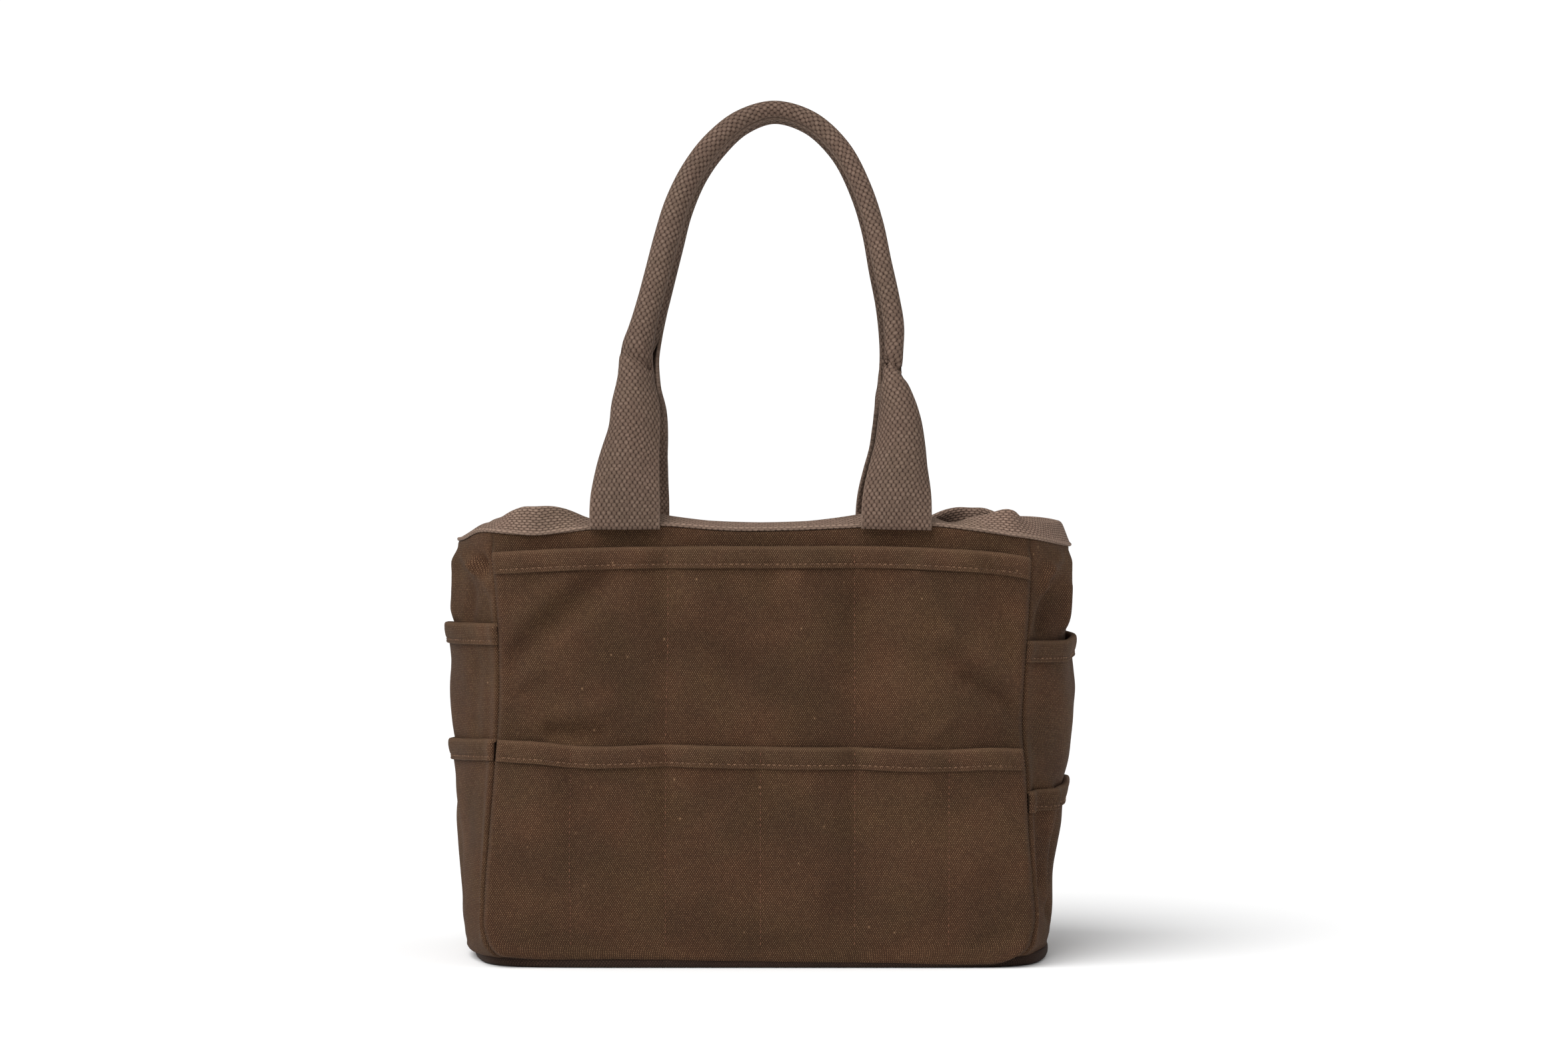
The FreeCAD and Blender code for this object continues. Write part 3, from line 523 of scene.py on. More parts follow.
# Folds as (start, end, width, depth): places over the cloth from the wall's middle and up, in millimetres.
FRONT_FOLDS = [
    ((-150, 171), (-90, 220), 9, -2.4), ((-148, 186), (-108, 222), 8, 1.6), ((-150, 162), (-136, 158), 4, -1.4),
    ((-150, 155), (-128, 170), 6, 1.4), ((-60, 224), (-56, 205), 12, -1.6), ((-44, 182), (-14, 170), 12, -1.8),
    ((-30, 205), (20, 160), 14, 1.2), ((90, 224), (107, 189), 7, 2.6), ((107, 189), (144, 162), 7, 2.4),
    ((130, 230), (144, 178), 9, -2.2), ((117, 166), (148, 144), 4, -2.4), ((120, 158), (146, 136), 5, 1.6),
    ((58, 208), (68, 176), 10, -2.2), ((20, 220), (42, 176), 7, 1.8), ((6, 224), (14, 198), 8, -1.6),
    ((-118, 136), (-92, 134), 5, -3.0), ((-112, 144), (-88, 150), 6, 1.6), ((100, 134), (108, 142), 4, 1.6),
    ((-70, 60), (-30, 95), 14, -1.2), ((-125, 95), (-100, 40), 14, 1.0), ((30, 95), (70, 40), 14, 1.0),
    ((110, 100), (135, 55), 10, -1.4),
]
BACK_FOLDS = [
    ((-140, 215), (-95, 160), 9, -2.2), ((-60, 225), (-30, 180), 9, 2.0), ((20, 210), (60, 165), 11, -2.0),
    ((90, 225), (140, 180), 8, 2.2), ((100, 165), (146, 150), 5, -1.8), ((-146, 100), (-110, 60), 12, 1.4),
    ((-40, 90), (10, 50), 14, -1.2), ((60, 100), (110, 45), 13, 1.2),
]
LEFT_FOLDS = [
    ((38, 240), (59, 229), 5, 2.0), ((59, 229), (75, 218), 4.5, 2.2), ((75, 218), (81, 198), 4.5, 1.8),
    ((60, 240), (67, 230), 8, -1.4), ((71, 230), (78, 214), 5, -1.6), ((50, 214), (44, 200), 6, -1.6),
    ((30, 236), (20, 205), 9, 2.2), ((-30, 236), (-10, 205), 8, -2.4), ((-70, 236), (-48, 204), 6, 2.0),
    ((60, 170), (52, 140), 8, -1.4), ((-40, 180), (-30, 145), 9, 1.6), ((10, 100), (24, 40), 10, -1.6),
]
RIGHT_FOLDS = [
    ((-50, 234), (-64, 226), 4.5, 1.6), ((-64, 226), (-71, 217), 4.5, 2.0), ((-71, 217), (-79, 200), 4.5, 2.0),
    ((-79, 200), (-72, 190), 4.5, 1.2), ((-58, 214), (-64, 196), 7, -2.4), ((-40, 216), (-42, 195), 5, 1.8),
    ((-30, 235), (-36, 200), 9, 1.8), ((20, 238), (0, 205), 9, -2.4), ((66, 236), (48, 204), 6, 2.0),
    ((-66, 96), (-60, 50), 5, -2.0), ((-52, 98), (-50, 40), 6, 1.8), ((-38, 92), (-42, 30), 6, -1.8),
    ((20, 100), (30, 40), 9, 1.6), ((40, 180), (30, 130), 10, -1.6),
]
# Once round the bag.
walls = {name: Wall(name, folds) for name, folds in
         (("front", FRONT_FOLDS), ("right", RIGHT_FOLDS), ("back", BACK_FOLDS), ("left", LEFT_FOLDS))}


SETTLE_COLUMNS, SETTLE_ROWS, SETTLE_FRAMES = 65, 49, 32
SETTLE_LIMITS = (-6.0, 9.0)  # how far settled cloth may stand in and out
SETTLE_SHARE = 0.75  # how much of that is kept
SETTLE_ENDS = 20  # columns at each side that an end wall's mean leaves out


def start_settling(wall, number):
    """A sheet of canvas a little larger than its wall, pinned along its four seams."""
    length, height = 2 * wall.half_width(), RIM_LOW[2] - FOOT
    u, v = np.meshgrid(np.linspace(0, 1, SETTLE_COLUMNS), np.linspace(0, 1, SETTLE_ROWS), indexing="ij")
    wave = (0.6 * np.sin((7 * u + 3 * v + number) * np.pi) + 0.5 * np.sin((4 * u - 6 * v + 2 * number) * np.pi)
            + 0.4 * np.sin((2 * u + 11 * v) * np.pi + number))
    seam = np.minimum(np.minimum(u, 1 - u) * length, np.minimum(v, 1 - v) * height)
    stand = (wave + 2.0) * step(0, 50, seam) + 0.8 * wall.relief(2 * u - 1, FOOT + v * height)
    points = np.stack([u * length, -stand, v * height], -1).reshape(-1, 3)
    index = np.arange(len(points)).reshape(SETTLE_COLUMNS, SETTLE_ROWS)
    mesh = bpy.data.meshes.new("settling")
    mesh.from_pydata((points * MM).tolist(), [], grid_faces(SETTLE_COLUMNS, SETTLE_ROWS))
    sheet = add_object("settling", mesh)
    group = sheet.vertex_groups.new(name="seam")
    border = np.unique(np.concatenate([index[0], index[-1], index[:, 0], index[:, -1]]))
    group.add(border.tolist(), 1.0, "REPLACE")
    modifier = sheet.modifiers.new("settle", "CLOTH")
    modifier.collision_settings.use_collision = False
    modifier.point_cache.frame_start = 1
    modifier.point_cache.frame_end = SETTLE_FRAMES
    cloth = modifier.settings
    cloth.vertex_group_mass = "seam"
    cloth.mass = 0.3
    cloth.tension_stiffness = cloth.compression_stiffness = 40
    cloth.shear_stiffness = 8
    cloth.bending_stiffness = 50
    cloth.tension_damping = cloth.compression_damping = cloth.shear_damping = 10
    cloth.shrink_min = -0.014
    cloth.use_pressure = True
    cloth.uniform_pressure_force = 2.0
    cloth.effector_weights.gravity = 0.08
    return sheet


def smoothed(grid, rounds):
    for _ in range(rounds):
        padded = np.pad(grid, 1, mode="edge")
        sides = padded[:-2, 1:-1] + padded[2:, 1:-1] + padded[1:-1, :-2] + padded[1:-1, 2:]
        grid = 0.5 * grid + 0.125 * sides
    return grid


def settle_walls():
    """Lets a sheet for each wall sag and buckle between its seams, and keeps how far it stands out."""
    sheets = [start_settling(wall, number) for number, wall in enumerate(walls.values())]
    for number in range(1, SETTLE_FRAMES + 1):
        bpy.context.scene.frame_set(number)
    graph = bpy.context.evaluated_depsgraph_get()
    for wall, sheet in zip(walls.values(), sheets):
        mesh = sheet.evaluated_get(graph).to_mesh()
        place = np.zeros(len(mesh.vertices) * 3)
        mesh.vertices.foreach_get("co", place)
        stand = -place.reshape(SETTLE_COLUMNS, SETTLE_ROWS, 3)[..., 1] / MM
        if not wall.long:
            bulge = stand[SETTLE_ENDS:-SETTLE_ENDS].mean(axis=0)
            stand = stand - smoothed(np.tile(bulge, (SETTLE_COLUMNS, 1)), 4)
        wall.relief_grid = SETTLE_SHARE * np.clip(smoothed(stand, 3), *SETTLE_LIMITS)
    for sheet in sheets:
        mesh = sheet.data
        bpy.data.objects.remove(sheet)
        bpy.data.meshes.remove(mesh)
    bpy.context.scene.frame_set(1)


settle_walls()


RIM_READ_Z, RIM_SPACING = 246.0, 2.0  # where the rim's length is read, and its points' spacing
RIM_REACH, RIM_EASE = 18, 6.5  # points that the path is eased over, each way, and how strongly


def eased(values, reach, weight):
    """Values round a loop, averaged with their neighbours."""
    return sum(w * np.roll(values, k, axis=0) for k, w in zip(reach, weight))


def trace_rim():
    """The path of the rim's webbing once round the bag, eased round the corners: upright there and
    pressed down between the handles. Each row has x, y, z, the outward direction and the lean."""
    base, lean, counts = [], [], []
    for wall in walls.values():
        q = np.linspace(-1, 1, int(2 * wall.half_width(RIM_READ_Z) / RIM_SPACING), endpoint=False)
        base.append(wall.point(q, wall.rim_edge(q) - 1e-3, 0.0, dips=False))
        lean.append(wall.rim_lean(q))
        counts.append(len(q))
    reach = np.arange(-RIM_REACH, RIM_REACH + 1)
    weight = np.exp(-(reach / RIM_EASE) ** 2)
    weight = weight / weight.sum()
    base = eased(np.concatenate(base), reach, weight)
    lean = eased(np.concatenate(lean), (-2, -1, 0, 1, 2), (0.1, 0.25, 0.3, 0.25, 0.1))
    tangent = unit((np.roll(base, -1, axis=0) - np.roll(base, 1, axis=0)) * np.array([1, 1, 0]))
    outward = unit(eased(np.stack([tangent[:, 1], -tangent[:, 0]], -1), reach, weight))
    path = np.concatenate([base, outward, lean[:, None]], 1)
    start = 0
    for wall, count in zip(walls.values(), counts):
        own = np.take(path, range(start, start + count + 1), axis=0, mode="wrap")
        wall.rim = (np.linspace(-1, 1, count + 1), own)
        start += count
    return path


rim_path = trace_rim()


def wall_grid(wall, name, low, high, out, q_end):
    """A grid over a wall between two heights, given as functions of q, with its cloth coordinates."""
    length = wall.half_width()
    q = np.linspace(-q_end, q_end, int(2 * length / GRID) + 1)
    bottom, top = low(q), high(q)
    rows = int((np.max(top) - np.min(bottom)) / GRID) + 1
    share = np.linspace(0, 1, rows)
    share = share - 0.35 * np.sin(2 * np.pi * share) / (2 * np.pi)  # closer rows at both edges
    z = bottom[:, None] + (top - bottom)[:, None] * share[None, :]
    q = np.repeat(q[:, None], rows, 1)
    radius = wall.corner_radius(z)
    turned = np.arcsin(1 - np.clip(half_gap(wall, q, z), 0, radius) / radius)
    round_corner = np.sign(q) * radius * (turned - np.sin(turned))  # the cloth that the rounding takes up
    uv = np.stack([q * length + round_corner + hash_place(name), z], -1)
    return wall.point(q, z, out(q, z)), uv


def nearest(values, places):
    """Distance to the nearest of a list of places."""
    return np.min(np.abs(np.asarray(values)[..., None] - np.asarray(places, float)), axis=-1)


DIVIDER_PITCH = 53.5
LOWER_DIVIDERS = [k * DIVIDER_PITCH for k in (-2, -1, 0, 1, 2)]
UPPER_DIVIDERS = [-DIVIDER_PITCH, DIVIDER_PITCH]
SIDE_HOLD, DIVIDER_HOLD = 12, 9  # how far the seams at the sides and dividers hold a pocket down
PUCKER_DEPTH, PUCKER_WIDTH, POCKET_GAP = 0.35, 2.2, 0.25


class Pocket:
    """A sheet sewn to a wall at its sides, its foot and its dividers, and open at the top."""

    def __init__(self, wall, mouth, dividers, gape, under=None):
        self.wall = wall
        self.mouth_points = mouth
        self.dividers = dividers
        self.gape = gape  # how far the mouth stands open
        self.under = under

    def mouth(self, q):
        return through(self.mouth_points, q)

    def out(self, q, z):
        """The stand-off of the sheet's outer face."""
        below = 0.0 if self.under is None else self.under.out(q, np.minimum(z, self.under.mouth(q)))
        a = self.wall.across(q, z)
        held = 1 - np.exp(-(half_gap(self.wall, q, z) / SIDE_HOLD) ** 2)
        puckers = 0.0
        if self.dividers:
            gap = nearest(a, self.dividers)
            held = held * (1 - np.exp(-(gap / DIVIDER_HOLD) ** 2))
            puckers = PUCKER_DEPTH * np.exp(-(gap / PUCKER_WIDTH) ** 2)
        share = np.clip((z - FOOT) / (self.mouth(q) - FOOT), 0, 1.1)
        opening = 0.25 * step(0, 0.4, share) + 0.75 * share ** 3
        return below + POCKET_CLOTH + POCKET_GAP + self.gape * held * opening - puckers


HEM_HEIGHT = 12.4
# The hem's section: (stand-off from the sheet's outer face, height above the hem's lower edge).
HEM_SECTION = [(0.12, 0.0), (0.9, -0.1), (1.45, 0.25), (1.55, 0.9), (1.3, 1.7), (1.05, 2.3), (1.3, 3.0), (1.75, 4.2),
               (2.0, 6.0), (2.1, 8.0), (1.9, 9.8), (1.45, 11.3), (0.7, 12.2), (-0.4, 12.5), (-1.5, 12.2),
               (-2.15, 11.2), (-2.3, 9.5), (-2.15, 6.0), (-2.0, 3.0), (-1.9, 0.3), (-1.15, 0.0), (-1.1, 4.0),
               (-1.1, 9.0), (-0.9, 10.8), (-0.5, 11.2), (0.0, 10.8), (0.1, 9.0), (0.1, 4.0)]
HEM_STITCH_HEIGHT = 2.3
HEM_SPACING, HEM_END = 1.8, 0.996  # the hem's points: their spacing, and the last one's q
MOUTH_TUCK = 1.6  # how far below its mouth a pocket's own sheet ends


def hem_puff(pocket, q):
    """The hem's share of its full thickness: 1 between dividers, which pull it in."""
    if not pocket.dividers:
        return np.ones_like(q)
    a = pocket.wall.across(q, np.full_like(q, 150.0))
    return 1 - 0.35 * np.exp(-(nearest(a, pocket.dividers) / 3.0) ** 2)


def make_hem(pocket, name, nodes):
    wall = pocket.wall
    q = np.linspace(-HEM_END, HEM_END, int(2 * wall.half_width() / HEM_SPACING) + 1)
    section = np.array(HEM_SECTION)
    top = pocket.mouth(q)
    z = (top - HEM_HEIGHT)[:, None] + section[None, :, 1]
    base = pocket.out(q, top - 0.5 * HEM_HEIGHT)[:, None]
    puff = hem_puff(pocket, q)[:, None]
    out = base + np.where(section[:, 0] > 0.5, section[:, 0] * puff, section[:, 0])
    grid = wall.point(np.repeat(q[:, None], len(section), 1), z, out)
    uv = table(travel(grid[:, 8]) + hash_place(name), travel(section))
    edge = np.zeros(grid.shape[:2])
    edge[:, 11:15] = 0.35
    edge[:, 1:3] = 0.3
    piece = band_mesh(name, grid[:, ::-1], hem_cloth, False, uv[:, ::-1], edge[:, ::-1])
    return finish_piece(piece, "bag", nodes)


STITCH_RINGS, STITCH_SIDES = 6, 6


def stitch_row(starts, ends, outward, radius):
    """Short bent yarns, each from one hole to the next, as vertices and faces."""
    share = np.linspace(0, 1, STITCH_RINGS)
    arch = np.sin(np.pi * share)
    axis = unit(ends - starts)
    side = unit(np.cross(axis, outward))
    angle = np.linspace(0, 2 * np.pi, STITCH_SIDES, endpoint=False)
    centre = starts[:, None] + (ends - starts)[:, None] * share[None, :, None]
    centre = centre + outward[:, None] * (arch * radius * 1.3 - 0.9 * radius)[None, :, None]
    thick = radius * np.sqrt(np.clip(arch, 0.12, 1))
    ring = (side[:, None, None] * np.cos(angle)[None, None, :, None]
            + outward[:, None, None] * np.sin(angle)[None, None, :, None])
    points = centre[:, :, None] + ring * thick[None, :, None, None]
    block = STITCH_RINGS * STITCH_SIDES
    faces = []
    for k in range(len(starts)):
        first = k * block
        faces += grid_faces(STITCH_RINGS, STITCH_SIDES, first, wrap_columns=True, flip=True)
        faces += caps(STITCH_RINGS, STITCH_SIDES, first)
    return points.reshape(-1, 3), faces


def stitch_mesh(name, lines, pitch, length, radius, material, nodes):
    """All stitches of a piece; each line is a path of places with the cloth's outward direction."""
    points, faces, count = [], [], 0
    for path, outward in lines:
        travelled = travel(path)
        first = np.arange(pitch * 0.6, travelled[-1] - pitch, pitch)

        def at(places, of):
            return np.stack([np.interp(places, travelled, of[:, k]) for k in range(3)], -1)

        made, quads = stitch_row(at(first, path), at(first + length, path), unit(at(first, outward)), radius)
        faces += [[i + count for i in f] for f in quads]
        points.append(made)
        count += len(made)
    points = np.concatenate(points)
    uv = np.stack([points[:, 0], points[:, 2]], -1)
    piece = make_mesh(name, points, faces, uv, np.zeros(len(points)), material)
    return finish_piece(piece, "bag", nodes)


def surface_line(wall, q, z, out):
    """A line on a wall with its outward direction, from a small step in the stand-off."""
    path = wall.point(q, z, out)
    return path, unit(wall.point(q, z, out + 1.0) - path)


def hem_line(pocket):
    q = np.linspace(-0.985, 0.985, 240)
    top = pocket.mouth(q)
    out = pocket.out(q, top - 0.5 * HEM_HEIGHT) + 1.12 * hem_puff(pocket, q)
    return surface_line(pocket.wall, q, top - HEM_HEIGHT + HEM_STITCH_HEIGHT, out)


def divider_line(pocket, place, low, high, extra=0.0):
    """A divider's stitches from one height to another, on the outermost cloth."""
    z = np.linspace(low, high, 80)
    half = np.abs(pocket.wall.across(np.ones_like(z), z))
    q = place / half
    return surface_line(pocket.wall, q, z, pocket.out(q, z) + extra)


# ---------------------------------------------------------------- the sewn body

def make_sheet(wall, node, top, out, thickness, tall, q_end):
    """A sheet of canvas on a wall, from the base up to the heights of top."""
    grid, uv = wall_grid(wall, node, wall.foot, top, out, q_end)
    piece = sheet_mesh(node + "_canvas", grid, thickness, canvas_cloth, uv)
    finish_piece(piece, "bag", [node])
    size = (2 * wall.half_width() * MM, tall)


def make_panel(wall):
    """A wall of canvas, from the base to inside the rim's webbing."""
    node = wall.name + ("_panel" if wall.long else "_gusset")
    make_sheet(wall, node, lambda q: wall.rim_edge(q) + RIM_TUCK, lambda q, z: np.zeros_like(q),
               CANVAS, PANEL_TALL, 1.0)


def make_pocket(pocket, name):
    tall = float(np.mean(pocket.mouth(np.linspace(-1, 1, 9)))) - FOOT
    make_sheet(pocket.wall, name, lambda q: pocket.mouth(q) - MOUTH_TUCK, pocket.out,
               POCKET_CLOTH, tall * MM, 0.999)
    make_hem(pocket, name + "_hem_fold", [name + "_hem"])


# Along each wall, the height of the upper pocket's mouth and its gape, then the same of the lower one.
MOUTHS = {
    "long": ([(-1, 237.0), (-0.66, 239.4), (0, 240.4), (0.66, 239.2), (0.92, 236), (1, 233.8)], 3.6,
             [(-1, 130.3), (-0.82, 129.3), (-0.72, 127.6), (-0.36, 128.0), (0, 126.8), (0.36, 126.4),
              (0.72, 125.2), (0.85, 126.2), (1, 125.2)], 3.2),
    "left": ([(-1, 194), (-0.5, 194), (0, 195.5), (0.6, 196), (1, 196.4)], 3.6,
             [(-1, 128), (-0.5, 126.5), (0, 127), (0.5, 128.6), (1, 130.6)], 1.6),
    "right": ([(-1, 186.5), (-0.6, 186), (0, 189.4), (0.5, 190), (1, 192)], 4.2,
              [(-1, 100.5), (-0.5, 101), (0, 103.3), (0.5, 103), (1, 104)], 1.2),
}
# Heights of a divider's stitches: from and to below the hem, then from and to on the hem.
LOWER_RUN, UPPER_RUN = (FOOT + 4, 114.0, 115.5, 127.5), (130.0, 226.5, 228.0, 240.0)
HEM_STITCH, DIVIDER_STITCH = (3.3, 2.4, 0.34), (3.6, 2.5, 0.32)  # pitch, length and radius

for wall in walls.values():
    make_panel(wall)
    upper_mouth, upper_gape, lower_mouth, lower_gape = MOUTHS["long" if wall.long else wall.name]
    upper = Pocket(wall, upper_mouth, UPPER_DIVIDERS if wall.long else [], upper_gape)
    lower = Pocket(wall, lower_mouth, LOWER_DIVIDERS if wall.long else [], lower_gape, upper)
    make_pocket(upper, wall.name + "_upper_pocket")
    make_pocket(lower, wall.name + "_lower_pocket")
    stitch_mesh(wall.name + "_hem_stitches", [hem_line(upper), hem_line(lower)], *HEM_STITCH, thread_yarn,
                [wall.name + "_hem_stitching"])
    if wall.long:
        lines = []
        for pocket, (low, hem_foot, hem_low, high) in ((lower, LOWER_RUN), (upper, UPPER_RUN)):
            for place in pocket.dividers:
                lines.append(divider_line(pocket, place, low, hem_foot))
                lines.append(divider_line(pocket, place, hem_low, high, 1.5))
        stitch_mesh(wall.name + "_divider_stitches", lines, *DIVIDER_STITCH, divider_yarn,
                    [wall.name + "_divider_stitching"])


# ---------------------------------------------------------------- the base

PLAN_POWER, PLAN_BOW = 9.0, 15.0  # how square the base's corners are, and how far its ends bow


def plan_outline(inset, count=360):
    """The base's plan: straight long sides, bowed ends and round corners, set in by a distance."""
    angle = np.linspace(0, 2 * np.pi, count, endpoint=False)
    half_x, half_y = BASE_HIGH[0] - 1.0 - inset, BASE_HIGH[1] - 0.6 - inset
    c, s = np.cos(angle), np.sin(angle)
    size = (np.abs(c) ** PLAN_POWER + np.abs(s) ** PLAN_POWER) ** (-1 / PLAN_POWER)
    x, y = size * c, size * s
    return np.stack([x * (half_x - PLAN_BOW * y ** 2), y * half_y], -1)


def ring_stack(edge, shrinks=(), low=(), high=()):
    """Rings of the base's plan at the (inset, height) levels of edge, between rings that shrink
    towards the middle at the low and at the high level."""
    levels = [(*low, s) for s in shrinks] + [(*level, 1) for level in edge] + [(*high, s) for s in shrinks[::-1]]
    return np.array([np.pad(plan_outline(inset) * shrink, ((0, 0), (0, 1)), constant_values=height)
                     for inset, height, shrink in levels])


BASE_ROUND = 900.0  # the weave's length once round the base
BASE_TAPE_GAP, CORNER_TAPE_GAP = 2.2, 1.8  # the weave's length between points of a tape's section


def make_base():
    """The base's canvas: the bottom, the edge turned up round it, and the inner side."""
    edge = [(6, 0.0), (3.5, 0.05), (1.8, 0.4), (0.7, 1.3), (0.15, 2.6), (0, 4.2), (0.1, 5.8), (0.7, 6.9),
            (1.5, 7.1), (2.0, 6.3), (2.2, 4.0), (2.8, 2.0), (4.5, 1.3)]
    grid = ring_stack(edge, (0.05, 0.2, 0.4, 0.6, 0.8), (0, 0.0), (4.5, 1.3))
    uv = grid[..., :2].copy()
    side = slice(7, 16)  # the rings of the upright edge, with the weave run round it
    uv[side, :, 0] = np.linspace(0, BASE_ROUND, grid.shape[1], endpoint=False)
    uv[side, :, 1] = grid[side, :, 2]
    piece = band_mesh("base_panel_canvas", grid, base_cloth, False, uv)
    finish_piece(piece, "bag", ["base_panel"])


def make_board():
    """The stiff board between the base and its lining, with rounded edges."""
    edge = [(6.2, 2.2), (5.8, 2.4), (5.6, 2.9), (5.8, 3.6), (6.2, 3.8)]
    grid = ring_stack(edge, (0.05, 0.5, 0.9), (7.5, 2.2), (7.5, 3.8))
    piece = band_mesh("base_board_sheet", grid, board_plastic, False, grid[..., :2])
    finish_piece(piece, "bag", ["base_board"])


def make_lining():
    """The loose inner canvas over the base board, a little wavy."""
    outer = []
    for shrink in (1.0, 0.85, 0.65, 0.45, 0.25, 0.08):
        flat = plan_outline(5.4) * shrink
        wave = 0.35 * np.sin(flat[:, 0] / 17) * np.cos(flat[:, 1] / 13) * (1 - shrink ** 6)
        outer.append(np.column_stack([flat, 4.95 + wave]))
    outer = np.array(outer)
    inner = outer - np.array([0, 0, 0.8])
    grid = np.concatenate([outer[::-1], inner])[:, ::-1]
    piece = band_mesh("base_lining_canvas", grid, canvas_cloth, False, grid[..., :2])
    finish_piece(piece, "bag", ["base_lining"])


def make_base_tape():
    """The webbing tape that binds the base seam inside, a ring with a rounded section."""
    section = [(4.0, 5.4), (3.4, 6.2), (3.3, 9.0), (3.4, 11.8), (4.0, 12.9), (4.8, 12.9), (5.4, 11.8), (5.6, 9.0),
               (5.4, 6.2), (4.8, 5.4)]
    grid = ring_stack(section).transpose(1, 0, 2)
    around = travel(grid[:, 0])
    uv = table(around, BASE_TAPE_GAP * np.arange(len(section)))
    lap = around[-1] + np.linalg.norm(grid[0, 0] - grid[-1, 0])
    piece = band_mesh("base_seam_tape_strip", grid, tape_cloth, True, uv, lap=lap)
    finish_piece(piece, "bag", ["base_seam_tape"])


def make_corner_tapes():
    """Four tapes folded over the seam allowances, up the inner corners."""
    section = np.array([(-7, 0.4), (-5, 1.6), (-2, 2.3), (0, 3.0), (2, 2.3), (5, 1.6), (7, 0.4), (5, -0.4), (2, 0.4),
                        (0, 0.9), (-2, 0.4), (-5, -0.4)])
    z = np.arange(14.0, 247.0, 4.0)
    for side_y, row in ((-1, "front"), (1, "back")):
        for side_x, column in ((-1, "left"), (1, "right")):
            curved = side_x * side_y > 0
            half = through(SEAM_CURVED if curved else SEAM_EVEN, z) - 3.2
            wave = 0.5 * np.sin(z / 19 + side_x)
            centre = np.stack([side_x * (half - 2 + wave), np.full_like(z, side_y * (SEAM_Y - 5.0)), z], -1)
            inward = unit(np.array([-side_x, -side_y, 0.0]))
            centre = centre + 3.0 * step(200, 238, z)[:, None] * inward
            along = unit(np.array([side_x, -side_y, 0.0]))
            grid = swept(centre, section, along, inward)
            uv = table(z, CORNER_TAPE_GAP * np.arange(len(section)))[..., ::-1]
            name = f"{row}_{column}_seam_tape"
            piece = band_mesh(name + "_strip", grid if curved else grid[:, ::-1], tape_cloth, False, uv)
            finish_piece(piece, "bag", [name])


make_base()
make_board()
make_lining()
make_base_tape()
make_corner_tapes()


# ---------------------------------------------------------------- the rim

# The folded webbing's section: (stand-off from the wall's outer face, height above its lower edge).
RIM_SECTION = [(0.25, 0.0), (1.1, -0.2), (1.9, 0.1), (2.2, 0.8), (1.9, 1.6), (1.55, 2.4), (1.6, 5.0), (1.7, 8.0),
               (1.8, 11.0), (1.8, 13.2), (1.5, 14.8), (0.8, 15.9), (-0.4, 16.4), (-1.7, 16.0), (-2.6, 15.0),
               (-3.0, 13.2), (-3.0, 10.0), (-2.9, 6.0), (-2.9, 2.4), (-3.3, 1.2), (-3.2, 0.3), (-2.4, 0.0),
               (-1.5, 0.1), (-1.45, 4.0), (-1.45, 9.0), (-1.3, 13.0), (-0.6, 13.8), (0.1, 13.0), (0.2, 9.0),
               (0.2, 4.0)]


def make_rim():
    """The webbing folded over the top edge, once round the bag."""
    base, lean = rim_path[:, :3], rim_path[:, 5]
    outward = np.pad(rim_path[:, 3:5], ((0, 0), (0, 1)))
    high, c, s = np.array([0, 0, 1.0]), np.cos(lean)[:, None], np.sin(lean)[:, None]
    up, away = high * c - outward * s, outward * c + high * s
    section = np.array(RIM_SECTION)
    grid = swept(base, section, away[:, None], up[:, None])
    along = travel(base)
    lap = along[-1] + np.linalg.norm(base[0] - base[-1])
    uv = table(along, travel(section) + 40.0)
    edge = np.zeros(grid.shape[:2])
    edge[:, 1:5] = 0.7
    edge[:, 11:14] = 0.4
    piece = band_mesh("rim_webbing_band", grid[:, ::-1], rim_webbing_cloth, True, uv[:, ::-1], edge[:, ::-1], lap)
    finish_piece(piece, "bag", ["rim_webbing"])


make_rim()


# ---------------------------------------------------------------- the handles

